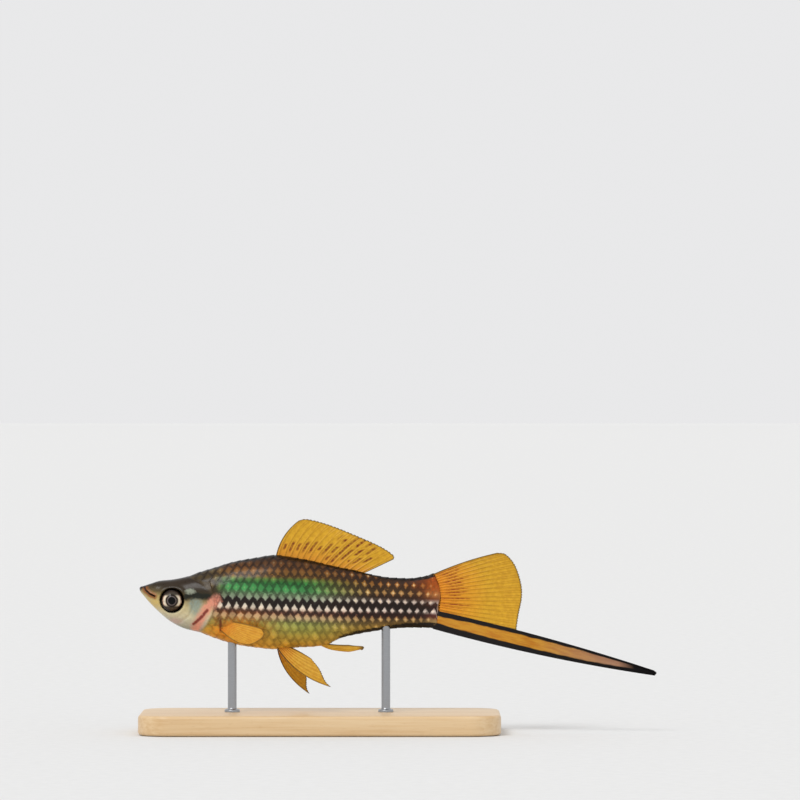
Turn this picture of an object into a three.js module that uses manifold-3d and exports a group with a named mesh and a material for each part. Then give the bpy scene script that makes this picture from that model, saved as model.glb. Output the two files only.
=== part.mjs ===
// A fully grown male green swordtail (Xiphophorus hellerii), life size, as a still museum model.
// The fish swims level with its head towards -X and its left side towards -Y, and two short
// rods hold it over a flat wooden base. Millimetres, +Z up. The origin is on the table, midway
// between the jaw tip and the tip of the sword.
//
// A fish point is (s, h, y): s is the distance behind the jaw tip, h the height over it, and y
// the distance to the fish's right side. The model is lofted whole and parted by thin cuts.
import * as THREE from "three";
import { mergeVertices } from "three/addons/utils/BufferGeometryUtils.js";
import Module from "manifold-3d";

const wasm = await Module();
wasm.setup();

// Driving dimensions
const TOTAL_LENGTH = 129.4; // jaw tip to sword tip
const MOUTH_HEIGHT = 36; // jaw tip above the table
const GAP = 0.3; // clearance between neighbouring pieces
const RING = { sides: 40, crowding: 0.2 }; // corners, closer together on the flanks
const HEAD_RINGS = { first: [0, 0.06, 0.15, 0.3, 0.55], end: 22, step: 0.62 };
const TRUNK_RINGS = { start: 12, end: 76.4, step: 2.3 };

// Body sections: behind the jaw tip, back, belly, half width.
const SECTIONS = [
  [0.0, -0.1, -0.2, 0.12],
  [0.15, 0.25, -0.7, 0.75],
  [0.45, 0.42, -1.2, 1.2],
  [1.0, 0.55, -1.85, 1.75],
  [1.9, 0.85, -2.95, 2.35],
  [3.1, 1.25, -4.25, 2.95],
  [5.1, 1.85, -6.2, 3.7],
  [8.1, 2.15, -8.6, 4.45],
  [11.4, 2.8, -10.2, 5.0],
  [15.1, 4.05, -11.15, 5.35],
  [18.9, 5.2, -12.6, 5.65],
  [23.9, 6.7, -14.1, 5.95],
  [28.9, 7.6, -14.9, 6.0],
  [33.9, 8.3, -15.35, 5.8],
  [38.9, 7.65, -14.95, 5.35],
  [43.9, 6.7, -14.7, 4.75],
  [47.1, 5.9, -14.1, 4.3],
  [50.1, 5.25, -12.7, 3.85],
  [53.9, 4.5, -11.7, 3.4],
  [57.6, 3.55, -11.05, 2.95],
  [62.6, 2.7, -10.3, 2.4],
  [67.6, 2.5, -9.95, 1.95],
  [71.4, 3.0, -10.0, 1.6],
  [74.4, 3.9, -10.35, 1.3],
  [77.0, 4.8, -10.9, 1.1],
];
// Roundness of a section above and below its widest level: under 1 is boxy, over 1 is keeled.
const ROUNDNESS = [
  [0, 0.8, 0.8],
  [8, 0.72, 0.9],
  [18, 0.95, 0.95],
  [34, 1.1, 0.95],
  [47, 1.05, 1.2],
  [77, 1.0, 1.1],
];
const WIDEST_LEVEL = 0.52; // share of the depth, from the belly
const RELIEF_FROM = 0.5; // the head's folds fade out nearer to the middle plane than this

// Head
const EYE = { s: 8.3, h: -3.0, radius: 2.75, depth: 1.9, sunk: 0.95, sides: 24, rings: 14 };
const PUPIL = { radius: 1.3, rise: 0.3, sides: 14, rings: 8 };
const ORBIT_RIM = { radius: 3.45, rise: 0.25, width: 0.8 };
const NOSTRIL = { s: 3.9, angle: 42, radius: 0.42, sides: 12, rings: 8 };
const LIP = { rise: 0.22, width: 0.45 };
const GILL_COVER = { rise: 0.4, width: 2.6, top: 2.5, full: -0.5 };
const CHEEK_GROOVE = { depth: 0.2, width: 0.9 };
const MOUTH_LINE = [
  [0.95, 1.4],
  [1.6, -0.38],
  [2.65, -1.35],
  [3.9, -1.95],
];
const JAW_HINGE_LINE = [
  [3.9, -1.95],
  [4.6, -4.0],
  [5.1, -7.2],
];
const GILL_EDGE = [
  [16.9, 7.5],
  [17.8, 2.5],
  [18.6, -1.0],
  [18.9, -4.0],
  [18.4, -6.5],
  [17.1, -9.0],
  [15.6, -10.8],
  [13.9, -14.0],
];
const CHEEK_LINE = [
  [13.4, -2.6],
  [13.5, -4.6],
  [12.6, -6.8],
  [10.2, -8.6],
];

// Cuts that part the body. Their outlines reach past the tail stem on every side.
const CUT = { depth: 40, front: 60, rear: 90, low: -14, high: 8 };
const CUT_STEPS = { mouth: 8, jawHinge: 6, gillEdge: 18, vent: 1, tailRoot: 16 };
const CRUMB = 1; // pieces of fewer cubic millimetres than this are dropped from a cut
const WELD = 1e-4; // points nearer to each other than this are one

// Tail stem
const VENT_LINE = [
  [57.6, 6.5],
  [48.4, -16.5],
];
const TAIL_ROOT = [
  [73.7, 5.6],
  [74.2, 3.8],
  [75.4, 1.0],
  [75.75, -1.0],
  [75.5, -3.0],
  [74.8, -5.2],
  [74.7, -7.5],
  [75.1, -10.4],
  [75.4, -12.0],
];

// Fins. Rays run from a root line to the margin; bow is how far the first and the last ray
// arch towards the leading edge, and wave is how far the margin stands off to the sides.
const MEMBRANE = { root: 0.85, edge: 0.5 };
const RAY = { rise: 0.16, halfWidth: 0.22, tip: 0.18, atMargin: 0.5, outermost: 0.7 };
const STEM_FIT = 0.925; // thickness of a fin's root as a share of the stem that it grows from
const DORSAL = {
  start: 34.0,
  end: 55.3,
  sunk: 1.4,
  rays: 13,
  rows: 6,
  bow: [1.15, 0],
  wave: { side: 0.5, rate: 5, phase: 0 },
  margin: [
    [39.9, 16.9],
    [42.1, 17.25],
    [47.6, 15.8],
    [55.1, 12.8],
    [60.4, 10.4],
    [63.5, 8.3],
    [63.6, 7.2],
  ],
};
const CAUDAL = {
  root: [
    [73.9, 4.0],
    [75.1, 1.0],
    [75.45, -1.0],
    [75.2, -3.0],
    [74.5, -4.85],
  ],
  rays: 14,
  rows: 6,
  bow: [0.3, 0.25],
  wave: { side: 0.7, rate: 4, phase: -0.6 },
  margin: [
    [89.5, 8.8],
    [91.7, 8.4],
    [94.0, 5.7],
    [95.5, 1.2],
    [95.7, -2.5],
    [94.9, -6.6],
    [94.3, -9.6],
  ],
};
const SWORD = {
  root: [
    [74.0, -5.35],
    [74.5, -10.45],
  ],
  rays: 5,
  rows: 14,
  bow: [0.75, -0.9],
  lean: 1.2,
  margin: [
    [128.6, -20.55],
    [TOTAL_LENGTH - RAY.tip / 2, -21.2],
    [128.8, -21.85],
  ],
};
// Paired fins are drawn in their own plane, from the front of the root, and then placed.
const PELVIC = {
  s: 33.9,
  h: -15.0,
  aside: 1.2,
  rays: 6,
  rows: 6,
  bow: [-1.8, 0.2],
  wave: { side: 0.5, rate: 3, phase: 0 },
  root: [
    [0, 0.6],
    [2.6, 0.6],
  ],
  margin: [
    [14.1, -10.2],
    [12.7, -8.7],
    [11.2, -5.6],
    [9.1, -2.8],
  ],
};
const PELVIC_LEFT = { droop: 0, splay: 20 };
const PELVIC_RIGHT = { droop: 25, splay: 38 };
const PECTORAL = {
  s: 20.5,
  h: -9.2,
  flare: 24,
  curl: 0.015,
  sunk: 0.7,
  rays: 11,
  rows: 6,
  bow: [0.35, -0.3],
  root: [
    [-0.1, 1.35],
    [0.05, -1.35],
  ],
  margin: [
    [10.2, -0.6],
    [11.0, -2.1],
    [9.9, -3.6],
    [7.4, -4.7],
    [4.8, -4.4],
  ],
};
const GONOPODIUM = {
  line: [
    [44.6, -13.6],
    [47.8, -14.7],
    [52.5, -15.1],
    [56.2, -14.85],
  ],
  halfHeight: [0.5, 0.75, 0.9, 0.3],
  halfWidth: [0.6, 0.6, 0.5, 0.25],
  ridge: 0.12,
  rings: 12,
  sides: 16,
};

// Stand
const BASE = { length: 90, width: 42, height: 5, corner: 8, chamfer: 0.8, x: -19.5 };
const ROD = { radius: 1.1, sides: 24, foot: 1.9, footEdge: 0.8, footHeight: 1.4 };
const ROD_PLACES = { front: 23.2, rear: 61.6 }; // behind the jaw tip

const FLESH = { color: 0x8a7a3a, roughness: 0.45, metalness: 0.0 };
const FIN = { color: 0xe0b02c, roughness: 0.5, metalness: 0.0 };
const SWORD_FINISH = { color: 0xc98f22, roughness: 0.5, metalness: 0.0 };
const EYEBALL = { color: 0xd8d2bf, roughness: 0.15, metalness: 0.0 };
const MAPLE = { color: 0xd9b98c, roughness: 0.5, metalness: 0.0 };
const STEEL = { color: 0xb9bcc0, roughness: 0.3, metalness: 1.0 };

const lerp = THREE.MathUtils.lerp;

// Value of one column of a table at a place, on a smooth curve that doesn't overshoot.
function smoothColumn(table, column, at) {
  const last = table.length - 1;
  if (at <= table[0][0]) return table[0][column];
  if (at >= table[last][0]) return table[last][column];
  const slope = (i) =>
    (table[i + 1][column] - table[i][column]) / (table[i + 1][0] - table[i][0]);
  const tangent = (i) => {
    if (i === 0) return slope(0);
    if (i === last) return slope(last - 1);
    const before = slope(i - 1);
    const after = slope(i);
    return before * after <= 0 ? 0 : (2 * before * after) / (before + after);
  };
  let i = 0;
  while (table[i + 1][0] < at) i += 1;
  const span = table[i + 1][0] - table[i][0];
  const t = (at - table[i][0]) / span;
  const from = table[i][column];
  const to = table[i + 1][column];
  return (
    from * (2 * t ** 3 - 3 * t ** 2 + 1) +
    to * (3 * t ** 2 - 2 * t ** 3) +
    tangent(i) * span * (t ** 3 - 2 * t ** 2 + t) +
    tangent(i + 1) * span * (t ** 3 - t ** 2)
  );
}

function sectionAt(s) {
  const back = smoothColumn(SECTIONS, 1, s);
  const belly = smoothColumn(SECTIONS, 2, s);
  return {
    back,
    belly,
    level: lerp(belly, back, WIDEST_LEVEL),
    halfWidth: smoothColumn(SECTIONS, 3, s),
    upper: smoothColumn(ROUNDNESS, 1, s),
    lower: smoothColumn(ROUNDNESS, 2, s),
  };
}

// Half width of the plain body at a height, or 0 above the back and below the belly.
function halfWidthAt(s, h) {
  const section = sectionAt(s);
  const above = h > section.level;
  const reach = above ? section.back - section.level : section.belly - section.level;
  const rise = Math.min(1, (h - section.level) / reach);
  const roundness = above ? section.upper : section.lower;
  return section.halfWidth * Math.sqrt(1 - rise * rise) ** roundness;
}

function distanceToLine(points, s, h) {
  let nearest = Infinity;
  for (let i = 0; i + 1 < points.length; i += 1) {
    const [s0, h0] = points[i];
    const [ds, dh] = [points[i + 1][0] - s0, points[i + 1][1] - h0];
    const t = THREE.MathUtils.clamp(
      ((s - s0) * ds + (h - h0) * dh) / (ds * ds + dh * dh),
      0,
      1,
    );
    nearest = Math.min(nearest, Math.hypot(s - s0 - t * ds, h - h0 - t * dh));
  }
  return nearest;
}

const bump = (distance, width) => Math.exp(-((distance / width) ** 2));

// How far the lips, orbit, gill cover and cheek groove stand proud of the plain head.
function headRelief(s, h) {
  const gillEdge = smoothColumn(
    GILL_EDGE.map(([edge, height]) => [height, edge]).reverse(),
    1,
    h,
  );
  const cover = GILL_COVER.rise * bump(Math.max(0, gillEdge - s), GILL_COVER.width);
  const coverFade = THREE.MathUtils.smoothstep(-h, -GILL_COVER.top, -GILL_COVER.full);
  const orbit = Math.hypot(s - EYE.s, h - EYE.h) - ORBIT_RIM.radius;
  return (
    cover * coverFade +
    ORBIT_RIM.rise * bump(orbit, ORBIT_RIM.width) +
    LIP.rise * bump(distanceToLine(MOUTH_LINE, s, h), LIP.width) -
    CHEEK_GROOVE.depth * bump(distanceToLine(CHEEK_LINE, s, h), CHEEK_GROOVE.width)
  );
}

function bodyPoint(s, angle, proud, reliefAt) {
  const section = sectionAt(s);
  const [up, side] = [Math.cos(angle), Math.sin(angle)];
  const reach = up > 0 ? section.back - section.level : section.level - section.belly;
  const roundness = up > 0 ? section.upper : section.lower;
  const h = section.level + (reach + proud) * up;
  const flat = Math.abs(side) ** roundness;
  const relief = reliefAt(s, h) * Math.min(1, Math.abs(side) / RELIEF_FROM);
  const y = Math.sign(side) * (section.halfWidth * flat + (relief + proud) * Math.abs(side));
  return new THREE.Vector3(s, y, h);
}

// Closed surface through rings of points, capped at both ends.
function loft(rings) {
  const sides = rings[0].length;
  const points = rings.flat();
  const faces = [];
  for (let r = 0; r + 1 < rings.length; r += 1)
    for (let k = 0; k < sides; k += 1) {
      const a = r * sides + k;
      const b = r * sides + ((k + 1) % sides);
      faces.push(a, b, b + sides, a, b + sides, a + sides);
    }
  for (const [ring, turned] of [
    [0, true],
    [rings.length - 1, false],
  ]) {
    const centre = points.length;
    const middle = new THREE.Vector3();
    for (const p of rings[ring]) middle.add(p);
    points.push(middle.divideScalar(sides));
    for (let k = 0; k < sides; k += 1) {
      const a = ring * sides + k;
      const b = ring * sides + ((k + 1) % sides);
      faces.push(...(turned ? [b, a, centre] : [a, b, centre]));
    }
  }
  return new THREE.BufferGeometry().setFromPoints(points).setIndex(faces);
}

const headStations = [...HEAD_RINGS.first];
while (headStations.at(-1) < HEAD_RINGS.end)
  headStations.push(headStations.at(-1) + HEAD_RINGS.step);
const trunkStations = [TRUNK_RINGS.start];
while (trunkStations.at(-1) < TRUNK_RINGS.end)
  trunkStations.push(trunkStations.at(-1) + TRUNK_RINGS.step);
const wholeStations = [
  ...headStations.slice(0, -1),
  ...trunkStations.filter((s) => s > HEAD_RINGS.end),
];

const noRelief = () => 0;

function bodyGeometry(stations, proud, reliefAt) {
  const rings = stations.map((s) => {
    const ring = [];
    for (let k = 0; k < RING.sides; k += 1) {
      const turn = (2 * Math.PI * k) / RING.sides;
      ring.push(bodyPoint(s, turn + RING.crowding * Math.sin(2 * turn), proud, reliefAt));
    }
    return ring;
  });
  return loft(rings);
}

// A closed mesh as a solid, whichever way its faces were wound.
function solidOf(geometry) {
  const plain = geometry.clone();
  plain.deleteAttribute("normal");
  plain.deleteAttribute("uv");
  const merged = mergeVertices(plain, WELD);
  const vertProperties = merged.attributes.position.array;
  const triVerts = new Uint32Array(merged.index.array);
  const build = () => new wasm.Manifold(new wasm.Mesh({ numProp: 3, vertProperties, triVerts }));
  const made = build();
  if (made.volume() > 0) return made;
  for (let i = 0; i < triVerts.length; i += 3)
    [triVerts[i + 1], triVerts[i + 2]] = [triVerts[i + 2], triVerts[i + 1]];
  return build();
}

const largestOf = (solid) =>
  solid.decompose().reduce((a, b) => (a.volume() >= b.volume() ? a : b));

function meshOf(name, solid, finish) {
  const made = largestOf(solid).getMesh();
  const geometry = new THREE.BufferGeometry();
  geometry.setAttribute("position", new THREE.BufferAttribute(made.vertProperties, 3));
  geometry.setIndex(new THREE.BufferAttribute(made.triVerts, 1));
  const mesh = new THREE.Mesh(geometry, new THREE.MeshStandardMaterial(finish));
  mesh.name = name;
  return mesh;
}

// Solid of a side-view outline, run right through the fish from side to side.
function throughSide(outline) {
  const shape = new THREE.Shape(outline.map(([s, h]) => new THREE.Vector2(s, h)));
  const geometry = new THREE.ExtrudeGeometry(shape, { depth: CUT.depth, bevelEnabled: false });
  geometry.rotateX(Math.PI / 2);
  geometry.translate(0, CUT.depth / 2, 0);
  return solidOf(geometry);
}

const curveThrough = (points) =>
  new THREE.CatmullRomCurve3(
    points.map(([s, h]) => new THREE.Vector3(s, 0, h)),
    false,
    "centripetal",
  );

// A cut GAP wide along a side-view line.
function slit(line, divisions) {
  const curve = curveThrough(line);
  const front = [];
  const rear = [];
  for (let i = 0; i <= divisions; i += 1) {
    const p = curve.getPointAt(i / divisions);
    const along = curve.getTangentAt(i / divisions);
    front.push([p.x + (along.z * GAP) / 2, p.z - (along.x * GAP) / 2]);
    rear.unshift([p.x - (along.z * GAP) / 2, p.z + (along.x * GAP) / 2]);
  }
  return throughSide([...front, ...rear]);
}

// Everything behind a side-view line, as far as the end of the body loft.
function behind(line, divisions) {
  const points = curveThrough(line).getSpacedPoints(divisions);
  const farSide = [
    [CUT.rear, CUT.low],
    [CUT.rear, CUT.high],
  ];
  return throughSide([...points.map((p) => [p.x, p.z]), ...farSide]);
}

// Fin blade with raised rays. root and margin are curves from the leading edge (v = 0) to the
// trailing edge (v = 1); place turns a point of the fin's plane and a side step into the fish.
function blade({ root, margin, bow, rays, rows, thicknessAtRoot, place }) {
  const columns = [[0, RAY.outermost]];
  for (let i = 0; i < rays; i += 1) {
    const centre = (i + 0.5) / rays;
    const half = RAY.halfWidth / rays;
    columns.push([centre - half, 0], [centre, 1], [centre + half, 0]);
  }
  columns.push([1, RAY.outermost]);
  const points = [];
  const count = columns.length;
  for (const face of [-1, 1])
    for (let r = 0; r <= rows; r += 1)
      for (const [v, crest] of columns) {
        const u = r / rows;
        const from = root.getPointAt(v);
        const to = margin.getPointAt(v);
        const along = to.clone().sub(from);
        const forward = new THREE.Vector3(-along.z, 0, along.x).normalize();
        const reach = u + (u === 1 ? (RAY.tip * (crest - 0.5)) / along.length() : 0);
        const arch = lerp(bow[0], bow[1], v) * 4 * u * (1 - u);
        const p = from.clone().addScaledVector(along, reach).addScaledVector(forward, arch);
        const web = lerp(thicknessAtRoot(v), MEMBRANE.edge, Math.sqrt(u));
        const half = web / 2 + RAY.rise * crest * lerp(1, RAY.atMargin, u);
        points.push(place(p.x, p.z, face * half, u, v));
      }
  const faces = [];
  const at = (layer, r, k) => layer * (rows + 1) * count + r * count + k;
  for (let r = 0; r < rows; r += 1)
    for (let k = 0; k + 1 < count; k += 1) {
      const corners = [at(0, r, k), at(0, r, k + 1), at(0, r + 1, k + 1), at(0, r + 1, k)];
      const [a, b, c, d] = corners;
      const [e, f, g, i] = corners.map((corner) => corner + (rows + 1) * count);
      faces.push(a, b, c, a, c, d, e, g, f, e, i, g);
    }
  const rim = [];
  for (let k = 0; k < count - 1; k += 1) rim.push([0, k]);
  for (let r = 0; r < rows; r += 1) rim.push([r, count - 1]);
  for (let k = count - 1; k > 0; k -= 1) rim.push([rows, k]);
  for (let r = rows; r > 0; r -= 1) rim.push([r, 0]);
  rim.forEach(([r, k], i) => {
    const [nextRow, nextColumn] = rim[(i + 1) % rim.length];
    const [a, b] = [at(0, r, k), at(0, nextRow, nextColumn)];
    const [c, d] = [at(1, nextRow, nextColumn), at(1, r, k)];
    faces.push(a, c, b, a, d, c);
  });
  return solidOf(new THREE.BufferGeometry().setFromPoints(points).setIndex(faces));
}

// Body, parted into lower jaw, head, torso and tail stem
const clearOfBody = solidOf(bodyGeometry(wholeStations, GAP, noRelief));
const shifted = (line, by) => line.map(([s, h]) => [s + by, h]);
const fromNoseToTail = (solid) =>
  solid
    .decompose()
    .filter((piece) => piece.volume() > CRUMB)
    .sort((a, b) => a.boundingBox().max[0] - b.boundingBox().max[0]);
const [lowerJaw, plainHead] = fromNoseToTail(
  solidOf(bodyGeometry(headStations, 0, headRelief))
    .subtract(slit(MOUTH_LINE, CUT_STEPS.mouth).add(slit(JAW_HINGE_LINE, CUT_STEPS.jawHinge)))
    .subtract(behind(shifted(GILL_EDGE, -GAP / 2), CUT_STEPS.gillEdge)),
);
const [, torso, tailStem] = fromNoseToTail(
  solidOf(bodyGeometry(trunkStations, 0, noRelief))
    .subtract(slit(GILL_EDGE, CUT_STEPS.gillEdge))
    .subtract(slit(VENT_LINE, CUT_STEPS.vent))
    .subtract(behind(shifted(TAIL_ROOT, -GAP), CUT_STEPS.tailRoot)),
);

// Eyes, their sockets and the nostrils
function eyeball(side, proud) {
  const geometry = new THREE.SphereGeometry(1, EYE.sides, EYE.rings);
  geometry.scale(EYE.radius + proud, EYE.depth + proud, EYE.radius + proud);
  const out = halfWidthAt(EYE.s, EYE.h) - EYE.sunk;
  geometry.translate(EYE.s, side * out, EYE.h);
  return solidOf(geometry);
}

function eye(side) {
  const lens = new THREE.SphereGeometry(1, PUPIL.sides, PUPIL.rings);
  lens.scale(PUPIL.radius, PUPIL.radius, PUPIL.radius);
  const surface = halfWidthAt(EYE.s, EYE.h) - EYE.sunk + EYE.depth;
  lens.translate(EYE.s, side * (surface + PUPIL.rise - PUPIL.radius), EYE.h);
  return eyeball(side, 0).add(solidOf(lens));
}

function nostril(side) {
  const geometry = new THREE.SphereGeometry(NOSTRIL.radius, NOSTRIL.sides, NOSTRIL.rings);
  const place = bodyPoint(NOSTRIL.s, side * THREE.MathUtils.degToRad(NOSTRIL.angle), 0, noRelief);
  geometry.translate(place.x, place.y, place.z);
  return solidOf(geometry);
}

let head = plainHead;
for (const side of [-1, 1]) head = head.subtract(eyeball(side, GAP)).subtract(nostril(side));

// Side step of a waving fin at a share u of the ray and v of the fin's length.
const waved = ({ side, rate, phase }, u, v) => side * u * u * Math.sin(rate * v + phase);

// Median fins
const dorsal = blade({
  ...DORSAL,
  root: curveThrough(
    [0, 0.33, 0.67, 1].map((t) => {
      const s = lerp(DORSAL.start, DORSAL.end, t);
      return [s, sectionAt(s).back - DORSAL.sunk];
    }),
  ),
  margin: curveThrough(DORSAL.margin),
  thicknessAtRoot: () => MEMBRANE.root,
  place: (s, h, side, u, v) => new THREE.Vector3(s, side + waved(DORSAL.wave, u, v), h),
}).subtract(clearOfBody);

const stemThickness = (curve) => (v) => {
  const p = curve.getPointAt(v);
  return Math.max(MEMBRANE.root, 2 * STEM_FIT * halfWidthAt(p.x, p.z));
};
const stemEnd = curveThrough(TAIL_ROOT).getSpacedPoints(CUT_STEPS.tailRoot);
const stemSide = throughSide([
  ...stemEnd.map((p) => [p.x, p.z]),
  [CUT.front, CUT.low],
  [CUT.front, CUT.high],
]);
const caudalRoot = curveThrough(CAUDAL.root);
const caudal = blade({
  ...CAUDAL,
  root: caudalRoot,
  margin: curveThrough(CAUDAL.margin),
  thicknessAtRoot: stemThickness(caudalRoot),
  place: (s, h, side, u, v) => new THREE.Vector3(s, side + waved(CAUDAL.wave, u, v), h),
}).subtract(stemSide);

const swordRoot = curveThrough(SWORD.root);
const sword = blade({
  ...SWORD,
  root: swordRoot,
  margin: curveThrough(SWORD.margin),
  thicknessAtRoot: stemThickness(swordRoot),
  place: (s, h, side, u) => new THREE.Vector3(s, side - SWORD.lean * u * u, h),
}).subtract(stemSide);

function gonopodium() {
  const curve = curveThrough(GONOPODIUM.line);
  const table = (values) => values.map((value, i) => [i / (values.length - 1), value]);
  const rings = [];
  for (let i = 0; i <= GONOPODIUM.rings; i += 1) {
    const t = i / GONOPODIUM.rings;
    const centre = curve.getPoint(t);
    const halfHeight = smoothColumn(table(GONOPODIUM.halfHeight), 1, t);
    const halfWidth = smoothColumn(table(GONOPODIUM.halfWidth), 1, t);
    const ring = [];
    for (let k = 0; k < GONOPODIUM.sides; k += 1) {
      const angle = (2 * Math.PI * k) / GONOPODIUM.sides;
      const ridge = 1 + GONOPODIUM.ridge * Math.cos(4 * angle);
      ring.push(
        new THREE.Vector3(
          centre.x,
          halfWidth * ridge * Math.sin(angle),
          centre.z + halfHeight * ridge * Math.cos(angle),
        ),
      );
    }
    rings.push(ring);
  }
  return solidOf(loft(rings)).subtract(clearOfBody);
}

// Paired fins
function pelvic(side, { droop, splay }) {
  const [turn, lean] = [THREE.MathUtils.degToRad(droop), THREE.MathUtils.degToRad(splay)];
  return blade({
    ...PELVIC,
    root: curveThrough(PELVIC.root),
    margin: curveThrough(PELVIC.margin),
    thicknessAtRoot: () => MEMBRANE.root,
    place: (along, up, step, u, v) => {
      const s = along * Math.cos(turn) + up * Math.sin(turn);
      const h = up * Math.cos(turn) - along * Math.sin(turn);
      const curl = step + waved(PELVIC.wave, u, v);
      return new THREE.Vector3(
        PELVIC.s + s,
        side * (PELVIC.aside - h * Math.sin(lean) + curl * Math.cos(lean)),
        PELVIC.h + h * Math.cos(lean) + curl * Math.sin(lean),
      );
    },
  }).subtract(clearOfBody);
}

function pectoral(side) {
  const lean = Math.tan(THREE.MathUtils.degToRad(PECTORAL.flare));
  const surface = halfWidthAt(PECTORAL.s, PECTORAL.h) - PECTORAL.sunk;
  return blade({
    ...PECTORAL,
    root: curveThrough(PECTORAL.root),
    margin: curveThrough(PECTORAL.margin),
    thicknessAtRoot: () => MEMBRANE.root,
    place: (along, up, step) =>
      new THREE.Vector3(
        PECTORAL.s + along + step * Math.sin(Math.atan(lean)),
        side * (surface + along * lean - PECTORAL.curl * along * along - step),
        PECTORAL.h + up,
      ),
  }).subtract(clearOfBody);
}

// Stand: a flat base with rounded corners, and two rods that end under the belly
function standBase() {
  const [halfLength, halfWidth] = [BASE.length / 2 - BASE.chamfer, BASE.width / 2 - BASE.chamfer];
  const corner = BASE.corner - BASE.chamfer;
  const shape = new THREE.Shape();
  shape.moveTo(-halfLength + corner, -halfWidth);
  shape.lineTo(halfLength - corner, -halfWidth);
  shape.absarc(halfLength - corner, -halfWidth + corner, corner, -Math.PI / 2, 0, false);
  shape.lineTo(halfLength, halfWidth - corner);
  shape.absarc(halfLength - corner, halfWidth - corner, corner, 0, Math.PI / 2, false);
  shape.lineTo(-halfLength + corner, halfWidth);
  shape.absarc(-halfLength + corner, halfWidth - corner, corner, Math.PI / 2, Math.PI, false);
  shape.lineTo(-halfLength, -halfWidth + corner);
  shape.absarc(-halfLength + corner, -halfWidth + corner, corner, Math.PI, 1.5 * Math.PI, false);
  const geometry = new THREE.ExtrudeGeometry(shape, {
    depth: BASE.height - 2 * BASE.chamfer,
    bevelEnabled: true,
    bevelThickness: BASE.chamfer,
    bevelSize: BASE.chamfer,
    bevelSegments: 1,
    curveSegments: 8,
  });
  geometry.translate(0, 0, BASE.chamfer);
  return solidOf(geometry);
}

function standRod(s) {
  const low = BASE.height + GAP;
  const high = MOUTH_HEIGHT + sectionAt(s).level;
  const profile = [
    [0, low],
    [ROD.foot, low],
    [ROD.foot, low + ROD.footEdge],
    [ROD.radius, low + ROD.footHeight],
    [ROD.radius, high],
    [0, high],
  ].map(([radius, height]) => new THREE.Vector2(radius, height));
  const geometry = new THREE.LatheGeometry(profile, ROD.sides);
  geometry.rotateX(Math.PI / 2);
  geometry.translate(s - TOTAL_LENGTH / 2, 0, 0);
  return solidOf(geometry).subtract(
    clearOfBody.translate([-TOTAL_LENGTH / 2, 0, MOUTH_HEIGHT]),
  );
}

const fish = new THREE.Group();
fish.position.set(-TOTAL_LENGTH / 2, 0, MOUTH_HEIGHT);
fish.add(
  meshOf("lower_jaw", lowerJaw, FLESH),
  meshOf("head", head, FLESH),
  meshOf("torso", torso, FLESH),
  meshOf("tail_stem", tailStem, FLESH),
  meshOf("eye_left", eye(-1), EYEBALL),
  meshOf("eye_right", eye(1), EYEBALL),
  meshOf("dorsal_fin", dorsal, FIN),
  meshOf("caudal_fin", caudal, FIN),
  meshOf("sword", sword, SWORD_FINISH),
  meshOf("gonopodium", gonopodium(), FIN),
  meshOf("pelvic_fin_left", pelvic(-1, PELVIC_LEFT), FIN),
  meshOf("pelvic_fin_right", pelvic(1, PELVIC_RIGHT), FIN),
  meshOf("pectoral_fin_left", pectoral(-1), FIN),
  meshOf("pectoral_fin_right", pectoral(1), FIN),
);

const stand = new THREE.Group();
const base = meshOf("stand_base", standBase(), MAPLE);
base.position.x = BASE.x;
stand.add(
  base,
  meshOf("stand_rod_front", standRod(ROD_PLACES.front), STEEL),
  meshOf("stand_rod_rear", standRod(ROD_PLACES.rear), STEEL),
);

const swordtail = new THREE.Group();
swordtail.add(fish, stand);

export default swordtail;
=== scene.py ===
import math

import bpy
import numpy as np
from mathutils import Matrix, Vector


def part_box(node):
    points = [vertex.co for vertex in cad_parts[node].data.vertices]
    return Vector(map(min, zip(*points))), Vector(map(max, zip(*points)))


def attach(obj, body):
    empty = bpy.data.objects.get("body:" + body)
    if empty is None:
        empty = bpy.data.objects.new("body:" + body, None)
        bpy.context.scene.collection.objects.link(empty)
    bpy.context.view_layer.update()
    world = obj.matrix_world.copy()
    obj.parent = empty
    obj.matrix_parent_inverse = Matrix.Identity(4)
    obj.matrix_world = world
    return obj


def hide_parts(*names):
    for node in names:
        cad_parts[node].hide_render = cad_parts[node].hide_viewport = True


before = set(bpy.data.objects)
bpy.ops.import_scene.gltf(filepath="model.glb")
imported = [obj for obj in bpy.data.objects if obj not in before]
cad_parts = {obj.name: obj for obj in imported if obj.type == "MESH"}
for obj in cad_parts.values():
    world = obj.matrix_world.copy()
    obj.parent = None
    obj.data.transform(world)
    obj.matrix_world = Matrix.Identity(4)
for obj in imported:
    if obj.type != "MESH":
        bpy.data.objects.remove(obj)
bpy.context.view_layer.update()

# Base: a block of hard maple, planed and sanded, with rounded corners and softly broken
# edges under a satin lacquer. It carries both rods, which are screwed into it from below.
MM = 0.001
BASE_LOW, BASE_HIGH = (np.array(corner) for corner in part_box("stand_base"))
BASE_CORNER = 8 * MM
BASE_EDGE = 0.8 * MM
MAPLE_GRAIN = [(0.25, "#c79f6b"), (0.5, "#d9b98c"), (0.8, "#e6cda6")]
MAPLE_PORE = "#b08450"
GRAIN_WIDTH, GRAIN_STRETCH = 1.1 * MM, (0.05, 1, 1.3)
PORE_WIDTH, PORE_STRETCH = 0.3 * MM, (0.12, 1, 1)


def linear(colour):
    """An sRGB hex colour as linear red, green, blue and alpha."""
    parts = (int(colour[i : i + 2], 16) / 255 for i in (1, 3, 5))
    return (*(p / 12.92 if p <= 0.04045 else ((p + 0.055) / 1.055) ** 2.4 for p in parts), 1.0)


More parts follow.
